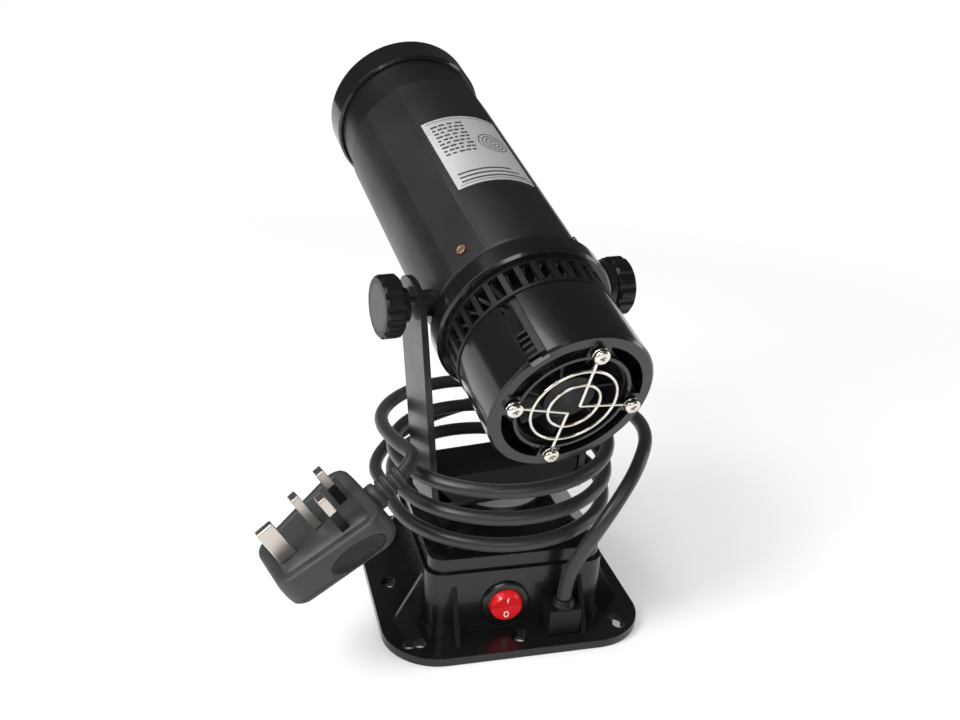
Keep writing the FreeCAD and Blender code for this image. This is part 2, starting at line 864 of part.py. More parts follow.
blade_wide = cell("blade_wide", 6.3)
blade_thick = cell("blade_thick", 0.8)
blade_long = cell("blade_long", 8)
blade_place = cell("blade_place", 5)
rocker_pivot_radius = cell("rocker_pivot_radius", 1.2)
rocker_low = cell("rocker_low", 3)
rocker_floor = -cell("rocker_room", 8.5)


def make_gland():
    body = new_body("cable_gland")
    wall = half_box
    left = gland_side - gland_width / 2
    right = gland_side + gland_width / 2
    outline = loop((left, gland_low), (right, gland_low), (right, gland_high), (left, gland_high))
    pad(body, "XZ_Plane", wall, wall + gland_out, outline)
    pad(body, "XZ_Plane", half_cavity, wall, ring(gland_neck_radius, gland_side, gland_middle))
    return keep(body)


# Yoke: a bent strap with a block between its arms

arm_slope = (arm_top - arm_foot) / (pivot_height - web_base)
arm_end = pivot_height + arm_round
yoke_turn = turn((0, 0, 1), yaw_angle)
head_turn = turn((0, 0, 1), yaw_angle).multiply(turn((1, 0, 0), tilt_angle - 90))
yoke_frame = at(0, 0, 0, yoke_turn)
head_frame = at(0, 0, pivot_height, head_turn)


def round_edges(body, radius, test):
    """Rounds the edges of the body's last feature that the test picks by middle and direction."""
    doc.recompute()
    names = []
    for index, edge in enumerate(body.Tip.Shape.Edges):
        middle = edge.valueAt((edge.FirstParameter + edge.LastParameter) / 2)
        ends = edge.Vertexes
        if len(ends) == 2 and test(middle, (ends[1].Point - ends[0].Point)):
            names.append(f"Edge{index + 1}")
    base = body.Tip
    feature = body.newObject("PartDesign::Fillet", f"{body.Label}_fillet")
    feature.Base = (base, names)
    radius = as_size(radius)
    feature.Radius = radius.value
    feature.setExpression("Radius", radius.text)
    body.Tip = feature
    return feature


def make_yoke():
    body = new_body("yoke_bracket")
    end = arm_foot + arm_slope * (arm_end - web_base)
    inner = arm_foot - strap_thick
    pad(body, "XZ_Plane", -strap_width / 2, strap_width / 2,
        loop((-arm_foot, web_base), (arm_foot, web_base), (end, arm_end), (end - strap_thick, arm_end),
             (inner, web_top), (-inner, web_top), (-end + strap_thick, arm_end), (-end, arm_end)))
    side = float(strap_width / 2)
    top = float(arm_end)

    def at_top(middle, way):
        flat = abs(way.y) < place_step and abs(way.z) < place_step
        return flat and abs(abs(middle.y) - side) < place_step and abs(middle.z - top) < place_step

    round_edges(body, arm_round, at_top)
    reach = end + overrun
    pocket(body, "YZ_Plane", -reach, reach, ring(stud_radius + cover_gap, 0, pivot_height))
    pocket(body, "XY_Plane", web_base - overrun, web_top + overrun, ring(bolt_hole_radius))
    hole = pocket(body, "XY_Plane", web_base - overrun, web_top + overrun,
                  ring(screw_core_radius + flat_gap, block_screw_place, 0))
    mirror(body, [hole], "YZ_Plane")
    keep(body, yoke_frame)

    turret = new_body("turret_block")
    half = arm_foot - strap_thick - flat_gap
    deep = strap_width / 2
    block_top = web_top + block_rise
    pad(turret, "XZ_Plane", -deep, deep,
        loop((-half + block_chamfer, web_top), (half - block_chamfer, web_top),
             (half, web_top + block_chamfer),
             (half, block_top), (-half, block_top), (-half, web_top + block_chamfer)))
    pocket(turret, "XY_Plane", web_top, web_top + bolt_head_thick + overrun,
           ring(bolt_head_radius + overrun))
    core = pocket(turret, "XY_Plane", web_top, web_top + lid_screw_long,
                  ring(screw_core_radius, block_screw_place, 0))
    mirror(turret, [core], "YZ_Plane")
    keep(turret, yoke_frame)

    screws = new_body("block_screws")
    first = spin(screws, screw_outline(screw_head_radius, screw_head_thick, screw_shank,
                                       strap_thick + lid_screw_long - overrun,
                                       web_base - screw_head_thick), centre=block_screw_place)
    polar(screws, [first], 2)
    keep(screws, yoke_frame)


block_screw_place = cell("block_screw_place", 25)


# Knobs: local Z points away from the head and the origin lies on the tilt axis at the yoke's middle

arm_inner_close = arm_top - strap_thick - arm_slope * boss_radius - boss_gap
knob_seat = arm_top + arm_slope * knob_radius + boss_gap


def make_knob(side, turned, stand):
    base = knob_seat + stand
    face = base + knob_thick
    body = new_body(f"knob_{side}")
    rim = knob_thick * knob_rim_share
    outline = [(stud_radius, base), (knob_radius - rim, base), (knob_radius, base + rim),
               (knob_radius, face - rim), (knob_radius - rim, face), (knob_disc_radius + flat_gap, face),
               (knob_disc_radius + flat_gap, face - knob_disc_thick), (stud_radius, face - knob_disc_thick)]
    spin(body, outline)
    if stand.value > 0:
        pad(body, "XY_Plane", knob_seat, base, ring(knob_collar_radius), ring(stud_radius))
    flute = pocket(body, "XY_Plane", base - flat_gap, face + overrun,
                   ring(knob_flute_radius, knob_radius + knob_flute_radius * knob_flute_share, 0))
    polar(body, [flute], knob_flute_count)
    frame = at(0, 0, pivot_height, yoke_turn.multiply(turn((0, 1, 0), turned)))
    keep(body, frame)
    disc = cylinder(f"knob_{side}_disc", knob_disc_radius, knob_disc_thick)
    keep(disc, frame.multiply(at(0, 0, face - knob_disc_thick)))
    tip = body_radius - body_wall + overrun / 2
    stud = cylinder(f"knob_{side}_stud", stud_radius, face - knob_disc_thick - tip)
    keep(stud, frame.multiply(at(0, 0, tip)))


# Head pieces: local Z runs to the lens, X to the right and Y down

def facet_loop(angle, near, far, half):
    """A rectangle across the direction at an angle from the top, from near to far out."""
    out_x = sine(angle)
    out_y = -cosine(angle)
    along_x = cosine(angle)
    along_y = sine(angle)
    corners = []
    for reach, side in ((near, -1), (near, 1), (far, 1), (far, -1)):
        corners.append((out_x * reach + along_x * half * side, out_y * reach + along_y * half * side))
    return ("loop", corners)


def make_barrel():
    body = new_body("barrel_body")
    bore = body_radius - body_wall
    rim = body_wall * rim_share
    spin(body, [(bore, body_rear), (body_radius - rim, body_rear), (body_radius, body_rear + rim),
                (body_radius, body_front - rim), (body_radius - rim, body_front), (bore, body_front)])
    for angle in (facet_angle, -facet_angle):
        pocket(body, "XY_Plane", body_rear - overrun, body_front + overrun,
               facet_loop(angle, body_radius - facet_depth, body_radius + overrun,
                          body_radius * facet_half_share))
    start = bore + body_wall * boss_root_share
    pad(body, "YZ_Plane", start, arm_inner_close, ring(boss_radius))
    pad(body, "YZ_Plane", -arm_inner_close, -start, ring(boss_radius))
    pocket(body, "YZ_Plane", -arm_inner_close - overrun, arm_inner_close + overrun,
           ring(stud_radius + running_gap))
    keep(body, head_frame)

    screws = new_body("barrel_screws")
    seat = body_radius - facet_depth
    first = pad(screws, "YZ_Plane", seat, seat + screw_head_thick / 2,
                ring(seam_screw_radius, 0, seam_screw_place))
    polar(screws, [first], 2, facet_angle * 2)
    keep(screws, head_frame.multiply(at(0, 0, 0, turn((0, 0, 1), -facet_angle - 90))))

    label = new_body("label_plate")
    inner = body_radius + flat_gap
    outer = inner + label_thick
    label_end = label_start + label_length
    turned = spin(label, [(inner, label_start), (outer, label_start), (outer, label_end), (inner, label_end)])
    set_prop(turned, "Angle", label_angle * 2)
    keep(label, head_frame.multiply(at(0, 0, 0, turn((0, 0, 1), -label_angle - 90))))


def make_neck():
    body = new_body("front_neck")
    bore = cell_radius + running_gap
    spigot = body_radius - body_wall - flat_gap
    spin(body, [(bore, body_front - spigot_length), (spigot, body_front - spigot_length),
                (spigot, body_front),
                (neck_out_radius, body_front), (neck_out_radius, neck_front), (bore, neck_front)])
    slot_rear = pin_place - pin_radius - running_gap
    slot_front = pin_place + cell_travel + pin_radius + running_gap
    half = pin_radius + running_gap
    pocket(body, "YZ_Plane", cell_radius - overrun, neck_out_radius + overrun,
           box_loop(-half, half, slot_rear, slot_front))
    keep(body, head_frame)

    collar = new_body("focus_ring")
    hole = neck_out_radius + running_gap
    relief = ring_radius - ring_relief_wall
    edge = (ring_radius - hole) * collar_edge_share
    spin(collar, [(hole, ring_rear), (ring_radius - edge, ring_rear), (ring_radius, ring_rear + edge),
                  (ring_radius, ring_front - edge), (ring_radius - edge, ring_front),
                  (ring_lip_radius, ring_front), (ring_lip_radius, ring_bore_end), (hole, ring_bore_end),
                  (hole, slot_front + flat_gap), (relief, slot_front + flat_gap),
                  (relief, slot_rear - flat_gap), (hole, slot_rear - flat_gap)])
    keep(collar, head_frame)


ring_relief_wall = cell("ring_relief_wall", 1.1)
pin_start = cell("pin_start", 24)
pin_place = body_front + pin_start


def make_lens_cell():
    body = new_body("lens_cell")
    inner = cell_radius - cell_wall
    seat = lens_seat
    lip = inner - lens_edge / 2
    spin(body, [(inner, cell_rear), (cell_radius, cell_rear), (cell_radius, cell_rear + cell_length),
                (inner, cell_rear + cell_length), (inner, seat), (lip, seat), (lip, seat - cell_wall),
                (inner, seat - cell_wall)])
    pocket(body, "YZ_Plane", inner - overrun, cell_radius + overrun,
           ring(pin_radius + flat_gap, 0, pin_place))
    keep(body, head_frame)
    lens_radius = inner - flat_gap
    dome_radius = lip - flat_gap
    rise = lens_thick - lens_edge
    ball_radius = (dome_radius * dome_radius + rise * rise) / (rise * 2)
    ball = doc.addObject("Part::Sphere", "front_lens_ball")
    set_prop(ball, "Radius", ball_radius)
    ball.Placement = at(0, 0, lens_seat + lens_thick - ball_radius)
    core = cylinder("front_lens_core", dome_radius, lens_thick, at(0, 0, lens_seat))
    dome = common("front_lens_dome", ball, core)
    edge = cylinder("front_lens_edge", lens_radius, lens_edge, at(0, 0, lens_seat))
    lens = doc.addObject("Part::Fuse", "front_lens")
    lens.Base = dome
    lens.Tool = edge
    keep(lens, head_frame)
    retainer = new_body("lens_retainer")
    pad(retainer, "XY_Plane", lens_seat + lens_edge, lens_seat + lens_edge + retainer_thick,
        ring(lens_radius), ring(lip))
    keep(retainer, head_frame)
    pin = new_body("focus_pin")
    pad(pin, "YZ_Plane", cell_radius - cell_wall + flat_gap, ring_radius - ring_relief_wall - boss_gap,
        ring(pin_radius, 0, pin_place))
    keep(pin, head_frame)


lens_setback = cell("lens_setback", 8)
lens_seat = cell_rear + lens_setback


def make_optics():
    outer = body_radius - body_wall - flat_gap
    holder = new_body("gobo_holder")
    front = holder_place + holder_thick
    spin(holder, [(gobo_open_radius, holder_place), (outer, holder_place), (outer, front),
                  (gobo_radius + flat_gap, front), (gobo_radius + flat_gap, front - gobo_thick),
                  (gobo_open_radius, front - gobo_thick)])
    keep(holder, head_frame)
    gobo = cylinder("gobo_disc", gobo_radius, gobo_thick)
    keep(gobo, head_frame.multiply(at(0, 0, front - gobo_thick)))

    mount = new_body("condenser_holder")
    seat = condenser_place
    lip = condenser_radius - condenser_lip
    rear = seat - condenser_lip
    spin(mount, [(lip, rear), (outer, rear), (outer, seat + condenser_edge * 2),
                 (condenser_radius + flat_gap, seat + condenser_edge * 2),
                 (condenser_radius + flat_gap, seat),
                 (lip, seat)])
    keep(mount, head_frame)
    rise = condenser_thick - condenser_edge
    ball_radius = (condenser_radius * condenser_radius + rise * rise) / (rise * 2)
    ball = doc.addObject("Part::Sphere", "condenser_ball")
    set_prop(ball, "Radius", ball_radius)
    ball.Placement = at(0, 0, seat + condenser_thick - ball_radius)
    core = cylinder("condenser_core", condenser_radius, condenser_thick, at(0, 0, seat))
    keep(common("condenser_lens", ball, core), head_frame)

    sink = new_body("heatsink")
    pad(sink, "XY_Plane", sink_rear, sink_front, ring(sink_core_radius))
    fin = pad(sink, "XY_Plane", sink_rear, sink_front,
              box_loop(sink_core_radius - overrun, sink_fin_radius, -sink_fin_thick / 2, sink_fin_thick / 2))
    polar(sink, [fin], sink_fin_count)
    keep(sink, head_frame)
    plate = cylinder("led_plate", outer, led_plate_thick)
    keep(plate, head_frame.multiply(at(0, 0, sink_front)))
    led = new_body("led_module")
    led_base = sink_front + led_plate_thick
    half = led_side / 2
    pad(led, "XY_Plane", led_base, led_base + led_thick, box_loop(-half, half, -half, half))
    pad(led, "XY_Plane", led_base, led_base + led_thick * 2, ring(half * dome_share))
    keep(led, head_frame)


condenser_lip = cell("condenser_lip", 1.5)
condenser_edge = cell("condenser_edge", 4)


# Rear of the head: ring band, vent ribs, cup and fan

vent_collar = cell("vent_collar", 1.5)
spigot_step = cell("spigot_step", 4.5)
spigot_bore = body_radius - spigot_step


def make_rear():
    ring_body = new_body("rear_ring")
    spigot = body_radius - body_wall - flat_gap
    rim = (band_radius - band_groove_radius) * fine_rim_share
    spin(ring_body, [(spigot_bore, band_rear), (band_radius - rim, band_rear), (band_radius, band_rear + rim),
                     (band_radius, band_front - rim), (band_radius - rim, band_front),
                     (band_groove_radius, band_front), (band_groove_radius, body_rear), (spigot, body_rear),
                     (spigot, body_rear + band_spigot), (spigot_bore, body_rear + band_spigot)])
    keep(ring_body, head_frame)

    ribs = new_body("vent_ribs")
    inner = rib_radius - rib_deep
    pad(ribs, "XY_Plane", band_rear - vent_collar, band_rear, ring(rib_radius), ring(inner))
    rib = pad(ribs, "XY_Plane", rib_rear, band_rear,
              box_loop(inner + flat_gap, rib_radius - flat_gap, -rib_wide / 2, rib_wide / 2))
    polar(ribs, [rib], rib_count)
    pad(ribs, "XY_Plane", rib_rear, rib_rear + vent_collar, ring(rib_radius), ring(inner))
    keep(ribs, head_frame)

    cup = new_body("rear_cup")
    cup_bore = cup_radius - cup_wall
    end = cup_rear + cup_end_thick
    rim = cup_wall * cup_rim_share
    spin(cup, [(fan_bore_radius + overrun, cup_rear), (cup_radius - rim, cup_rear),
               (cup_radius, cup_rear + rim), (cup_radius, rib_rear), (cup_bore, rib_rear), (cup_bore, end),
               (fan_bore_radius + overrun, end)])
    pocket(cup, "XY_Plane", cup_rear - overrun, end + overrun, ring(arc_outer_radius), ring(arc_inner_radius))
    half = arc_land_wide / 2
    land = pad(cup, "XY_Plane", cup_rear, end,
               box_loop(arc_inner_radius - flat_gap, arc_outer_radius + flat_gap, -half, half))
    polar(cup, [land], 4)
    hole = pocket(cup, "XY_Plane", cup_rear - overrun, end + overrun,
                  ring(guard_shank + cover_gap, fan_screw_radius, 0))
    polar(cup, [hole], 4)
    pocket(cup, "XY_Plane", cup_rear - overrun, rib_rear + overrun,
           facet_loop(slot_turned, cup_radius - cup_wall * slot_depth_share, cup_radius + overrun,
                      slot_wide / 2))
    keep(cup, fan_frame_place)


slot_turned = 90 - slot_angle - fan_screw_angle
band_spigot = cell("band_spigot", 8)
fan_frame_place = head_frame.multiply(at(0, 0, 0, turn((0, 0, 1), fan_screw_angle - 90)))
fan_square_place = head_frame.multiply(at(0, 0, 0, turn((0, 0, 1), fan_screw_angle - corner_turn)))
fan_base = cup_rear + cup_end_thick
fan_top = fan_base + fan_deep


def make_fan():
    frame = new_body("fan_frame")
    half = fan_side / 2
    pad(frame, "XY_Plane", fan_base, fan_top, round_box(half, half, fan_corner))
    pocket(frame, "XY_Plane", fan_base - overrun, fan_top + overrun, ring(fan_bore_radius))
    place = fan_screw_radius / root(2)
    hole = pocket(frame, "XY_Plane", fan_base - overrun, fan_top + overrun,
                  ring(guard_shank + flat_gap, place, place))
    polar(frame, [hole], 4)
    pad(frame, "XY_Plane", fan_top - fan_web, fan_top, ring(fan_hub_radius))
    strut = pad(frame, "XY_Plane", fan_top - fan_web, fan_top,
                box_loop(fan_hub_radius - overrun, fan_bore_radius + overrun / 2, -fan_web / 2, fan_web / 2))
    polar(frame, [strut], 4)
    pocket(frame, "XY_Plane", fan_top - fan_web - overrun, fan_top + overrun,
           ring(fan_shaft_radius + running_gap))
    keep(frame, fan_square_place)

    rotor = new_body("fan_rotor")
    hub_base = fan_base + overrun
    hub_top = fan_top - fan_web - boss_gap
    pad(rotor, "XY_Plane", hub_base, hub_top, ring(fan_hub_radius))
    pad(rotor, "XY_Plane", hub_top, fan_top - flat_gap, ring(fan_shaft_radius))
    middle = (hub_base + hub_top) / 2
    rise = (hub_top - hub_base) * blade_rise_share
    lean = rise * blade_lean_share
    thick = fan_web * blade_thick_share
    blade = pad(rotor, "YZ_Plane", fan_hub_radius - overrun, fan_blade_radius - overrun,
                loop((-lean, middle - rise), (-lean + thick, middle - rise), (lean, middle + rise),
                     (lean - thick, middle + rise)))
    polar(rotor, [blade], blade_count)
    keep(rotor, head_frame)


fan_web = cell("fan_web", 2)
fan_corner = cell("fan_corner", 4)


def rod(name, start, end, radius):
    """A straight round wire between two points of the head frame."""
    way = end - start
    thing = cylinder(name, radius, way.Length)
    thing.Placement = Placement(start, Rotation(Vector(0, 0, 1), way))
    return thing


def on_face(radius, angle, place):
    """A point at a radius and an angle from the top, on a plane across the axis."""
    return Vector(float(sine(angle) * radius), float(-cosine(angle) * radius), float(place))


def make_guard():
    plane = cup_rear - guard_stand
    pieces = []
    for index, radius in enumerate((guard_outer_radius, guard_inner_radius)):
        circle = doc.addObject("Part::Torus", f"fan_guard_ring_{index}")
        set_prop(circle, "Radius1", radius)
        set_prop(circle, "Radius2", guard_wire_radius)
        circle.Placement = at(0, 0, plane)
        pieces.append(circle)
    bends = [
        Vector(float(-guard_wire_radius * guard_bend_left_share),
               float(guard_wire_radius * guard_bend_low_share),
               float(plane)),
        Vector(float(guard_wire_radius * guard_bend_right_share),
               float(guard_wire_radius * guard_bend_mid_share),
               float(plane)),
    ]
    reach = fan_screw_radius - guard_eye_radius + guard_wire_radius
    for quarter in range(4):
        angle = fan_screw_angle + 90 * quarter
        eye = doc.addObject("Part::Torus", f"fan_guard_eye_{quarter}")
        set_prop(eye, "Radius1", guard_eye_radius)
        set_prop(eye, "Radius2", guard_wire_radius)
        centre = on_face(fan_screw_radius, angle, plane)
        eye.Placement = Placement(centre, Rotation())
        pieces.append(eye)
        bend = bends[1] if quarter < 2 else bends[0]
        near = centre + (bend - centre) * (float(guard_eye_radius) / (bend - centre).Length)
        pieces.append(rod(f"fan_guard_wire_{quarter}", near, bend, guard_wire_radius))
    guard = doc.addObject("Part::MultiFuse", "fan_guard")
    guard.Shapes = pieces
    keep(guard, head_frame)

    screws = new_body("guard_screws")
    under = cup_rear - guard_stand - guard_wire_radius
    first = spin(screws, screw_outline(guard_head_radius, guard_head_thick, guard_shank, guard_screw_long,
                                       under - guard_head_thick), centre=fan_screw_radius)
    polar(screws, [first], 4)
    keep(screws, fan_frame_place)


guard_bend_left_share = 2.5
guard_bend_low_share = 4.9
guard_bend_right_share = 3.7
guard_bend_mid_share = 0.7
guard_head_radius = cell("guard_head_radius", 3.6)
guard_head_thick = cell("guard_head_thick", 2.4)
guard_screw_long = cell("guard_screw_long", 14)


# Cord: a free stretch up from the gland, turns round the yoke's foot, and a stretch to the plug

cord_radius = cord_diameter / 2


def tube(path, radius):
    """A round tube along a wire of straight runs and arcs."""
    edge = path.Edges[0]
    start = edge.valueAt(edge.FirstParameter)
    way = edge.tangentAt(edge.FirstParameter)
    ring_wire = Part.Wire([Part.Circle(start, way, float(radius)).toShape()])
    solid = path.makePipeShell([ring_wire], True, False)
    expected = math.pi * float(radius) ** 2 * path.Length
    print(f"tube length {path.Length:.1f} volume {solid.Volume:.1f} expected {expected:.1f}")
    return solid


def rounded_path(points):
    """Straight runs joined by tangent arcs, each as large as its two runs allow."""
    edges = []
    start = points[0]
    radii = []
    for before, corner, after in zip(points, points[1:], points[2:]):
        way_in = (corner - before).normalize()
        way_out = (after - corner).normalize()
        half_turn = way_in.getAngle(way_out) / 2
        trim = bend_trim_share * min((corner - before).Length, (after - corner).Length)
        radius = trim / math.tan(half_turn)
        radii.append(radius)
        entry = corner - way_in * trim
        leave = corner + way_out * trim
        inward = (way_out - way_in).normalize()
        middle = corner + inward * (radius / math.cos(half_turn) - radius)
        edges.append(Part.LineSegment(start, entry).toShape())
        edges.append(Part.Arc(entry, middle, leave).toShape())
        start = leave
    edges.append(Part.LineSegment(start, points[-1]).toShape())
    print("bend radii", " ".join(f"{radius:.0f}" for radius in radii))
    return Part.Wire(edges)


def wrap_point(turns):
    """A point of the winding after so many turns, counted from the left side towards the front."""
    angle = math.pi + 2 * math.pi * turns
    radius = float(wrap_radius)
    height = float(wrap_low) + float(wrap_pitch) * turns
    return Vector(radius * math.cos(angle), radius * math.sin(angle), height)


def wrap_way(turns):
    angle = math.pi + 2 * math.pi * turns
    rise = float(wrap_pitch) / (2 * math.pi * float(wrap_radius))
    return Vector(-math.sin(angle), math.cos(angle), rise).normalize()


def arc_to(start, corner, end):
    """The arc that leaves the start towards the corner and reaches the end from it."""
    middle = (start + end) / 2
    inward = corner - middle
    half_turn = (corner - start).getAngle(end - corner) / 2
    sagitta = (end - start).Length / 2 * math.tan(half_turn / 2)
    return Part.Arc(start, middle + inward.normalize() * sagitta, end).toShape()


def biarc(start, way_start, end, way_end):
    """Two arcs that join two points with the given directions."""
    span = end - start
    both = way_start + way_end
    square = 4 - both.dot(both)
    linear = 2 * span.dot(both)
    reach = (-linear + math.sqrt(linear ** 2 + 4 * square * span.dot(span))) / (2 * square)
    first_corner = start + way_start * reach
    last_corner = end - way_end * reach
    joint = (first_corner + last_corner) / 2
    return [arc_to(start, first_corner, joint), arc_to(joint, last_corner, end)]


def least_gap(points, skip, diameter):
    """The least distance between parts of one tube that lie further apart than skip points."""
    least = None
    for index, point in enumerate(points):
        for other in points[index + skip:]:
            distance = (point - other).Length
            if least is None or distance < least:
                least = distance
    return least - diameter


rise_points = [
    Vector(20.5, -49.5, 17),
    Vector(20.5, -49.5, 32),
    Vector(27, -54.5, 51),
    Vector(37, -56, 70),
    Vector(52, -46, 85),
    Vector(66, -22, 91),
    Vector(66, 14, 87),
    Vector(49, 48, 80),
    Vector(8, 66, 70),
    Vector(-34, 60, 60),
    Vector(-57, 36, 52),
    Vector(-52, 14, 49.4),
    Vector(-52, 0, 50),
]
tail_points = [
    Vector(0, 52, 87.1),
    Vector(-14, 52, 87.7),
    Vector(-34, 45, 88),
    Vector(-50, 30, 87.5),
    Vector(-57, 11, 87.5),
    Vector(-53.5, -14, 89),
    Vector(-45.6, -33.4, 90.6),
    Vector(-58.4, -37.2, 81.8),
]


def make_cord():
    straight = float(cord_diameter)
    rise = rounded_path(rise_points)
    shape_node("cord_rise", tube(rise, cord_radius))
    quarters = int(round(wrap_turns * 4))
    edges = []
    start = wrap_point(0)
    way = wrap_way(0)
    edges.append(Part.LineSegment(start, start + way * straight).toShape())
    shift = way * straight
    for quarter in range(quarters):
        first = quarter / 4
        last = (quarter + 1) / 4
        first_point = wrap_point(first)
        last_point = wrap_point(last)
        if quarter == 0:
            first_point = first_point + shift
        if quarter == quarters - 1:
            last_point = last_point - wrap_way(last) * straight
        edges.extend(biarc(first_point, wrap_way(first), last_point, wrap_way(last)))
    end = wrap_point(wrap_turns)
    edges.append(Part.LineSegment(end - wrap_way(wrap_turns) * straight, end).toShape())
    wraps = Part.Wire(edges)
    shape_node("cord_wraps", tube(wraps, cord_radius))
    points = [wrap_point(index / samples_per_turn) for index in range(int(wrap_turns * samples_per_turn) + 1)]
    gap = least_gap(points, samples_per_turn // 2, straight)
    print(f"least gap of the winding to itself {gap:.2f}")
    tail = rounded_path(tail_points)
    shape_node("cord_tail", tube(tail, cord_radius))
    total = rise.Length + wraps.Length + tail.Length
    print(f"cord length {total:.0f}")


# Plug: local Z points out of the pin face, X to the strain relief

plug_out = Vector(-0.557, -0.049, 0.829).normalize()
relief_way = (tail_points[-1] - tail_points[-2]).normalize() * -1
plug_side = plug_out.cross(relief_way).normalize()
plug_out = relief_way.cross(plug_side).normalize()
plug_turn = Rotation(relief_way, plug_side, plug_out, "ZXY")
relief_long = cell("relief_long", 12)
relief_root_radius = cell("relief_root_radius", 6.3)
relief_tip_radius = cell("relief_tip_radius", 4.8)
relief_groove = cell("relief_groove", 1.1)
relief_ribs = 5
plug_back = cell("plug_back", 16)
plug_cover_thick = cell("plug_cover_thick", 4)
plug_narrow = cell("plug_narrow", 36)
plug_corner = cell("plug_corner", 8)
relief_low = cell("relief_low", 9)
relief_end = tail_points[-1]
plug_centre = relief_end - relief_way * float(relief_long + plug_long / 2) + plug_out * float(relief_low)
plug_frame = Placement(plug_centre, plug_turn)


def plug_outline():
    half = plug_long / 2
    return loop((-half, -plug_narrow / 2), (half, -plug_wide / 2), (half, plug_wide / 2),
                (-half, plug_narrow / 2))


def upright(middle, way):
    return abs(way.x) < place_step and abs(way.y) < place_step


def make_plug():
    split = -plug_back + plug_cover_thick
    body = new_body("plug_body")
    pad(body, "XY_Plane", split, 0, plug_outline())
    round_edges(body, plug_corner, upright)
    keep(body, plug_frame)
    cover = new_body("plug_cover")
    pad(cover, "XY_Plane", -plug_back, split, plug_outline())
    round_edges(cover, plug_corner, upright)
    pocket(cover, "XY_Plane", -plug_back - overrun, -plug_back + screw_head_thick,
           ring(screw_head_radius + cover_gap))
    keep(cover, plug_frame)
    screw = cylinder("plug_screw", screw_head_radius, screw_head_thick)
    keep(screw, plug_frame.multiply(at(0, 0, -plug_back)))

    pins = new_body("plug_pins")
    sleeves = new_body("plug_pin_sleeves")
    wide = pin_wide / 2
    thick = pin_thick / 2
    earth = earth_wide / 2
    bare = [
        box_loop(earth_along - earth, earth_along + earth, earth_across - thick, earth_across + thick),
        box_loop(middle_along - thick, middle_along + thick, -wide, wide),
    ]
    capped = [
        box_loop(upper_along - thick, upper_along + thick, upper_across - wide, upper_across + wide),
        box_loop(lower_along - thick, lower_along + thick, lower_across - wide, lower_across + wide),
    ]
    pad(pins, "XY_Plane", 0, prong_long, *bare)
    pad(pins, "XY_Plane", prong_long / 2, prong_long, *capped)
    keep(pins, plug_frame)
    pad(sleeves, "XY_Plane", 0, prong_long / 2, *capped)
    keep(sleeves, plug_frame)

    relief = new_body("plug_strain_relief")
    step = relief_long / (relief_ribs * 2)
    drop = (relief_root_radius - relief_tip_radius) / relief_ribs
    outline = [(as_size(0), as_size(0))]
    for rib in range(relief_ribs):
        outer = relief_root_radius - drop * rib
        groove = outer - relief_groove
        low = step * (rib * 2)
        high = low + step
        outline.extend([(outer, low), (outer, high), (groove, high), (groove, high + step)])
    outline.append((as_size(0), relief_long))
    spin(relief, outline)
    root_place = relief_end - relief_way * float(relief_long)
    keep(relief, Placement(root_place, Rotation(Vector(0, 0, 1), relief_way)))


# Places of the prongs on the face, along the plug and across it

pin_wide = cell("pin_wide", 6.3)
pin_thick = cell("pin_thick", 4)
earth_wide = cell("earth_wide", 8)
earth_along = cell("earth_along", -15.5)
earth_across = cell("earth_across", -4.5)
middle_along = cell("middle_along", 1.5)
upper_along = cell("upper_along", 16)
upper_across = cell("upper_across", 2.5)
lower_along = cell("lower_along", 9.5)
lower_across = cell("lower_across", -15)


def check_and_write():
    doc.recompute()
    for thing in doc.Objects:
        if "Invalid" in thing.State or "Error" in thing.State:
            raise RuntimeError(f"{thing.Label} is {thing.State}")
    for body, feature in cuts:
        base = feature.BaseFeature
        if base is not None and feature.Shape.Volume >= base.Shape.Volume - volume_step:
            raise RuntimeError(f"{feature.Label} of {body.Label} cuts nothing")
    os.makedirs("parts", exist_ok=True)
    for node in nodes:
        shape = node.Shape
        if shape.isNull() or not shape.isValid() or not shape.Solids:
            raise RuntimeError(f"{node.Label} has no valid solid")
        shape.exportStep(f"parts/{node.Label}.step")
        print(f"{node.Label}: {len(shape.Solids)} solids, {shape.Volume:.0f} cubic mm")
    print(len(nodes), "nodes")


make_base_housing()
make_base_cover()
make_cover_screws()
make_base_lid()
make_lid_screws()
make_swivel()
make_driver()
make_switch()
make_gland()
make_yoke()
make_knob("left", -90, knob_collar)
make_knob("right", 90, as_size(0))
make_barrel()
make_neck()
make_lens_cell()
make_optics()
make_rear()
make_fan()
make_guard()
make_cord()
make_plug()
check_and_write()
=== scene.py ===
import json
import math

import bmesh
import bpy
from bpy.props import FloatProperty, FloatVectorProperty, IntProperty, PointerProperty
from mathutils import Matrix, Vector
from mathutils.bvhtree import BVHTree

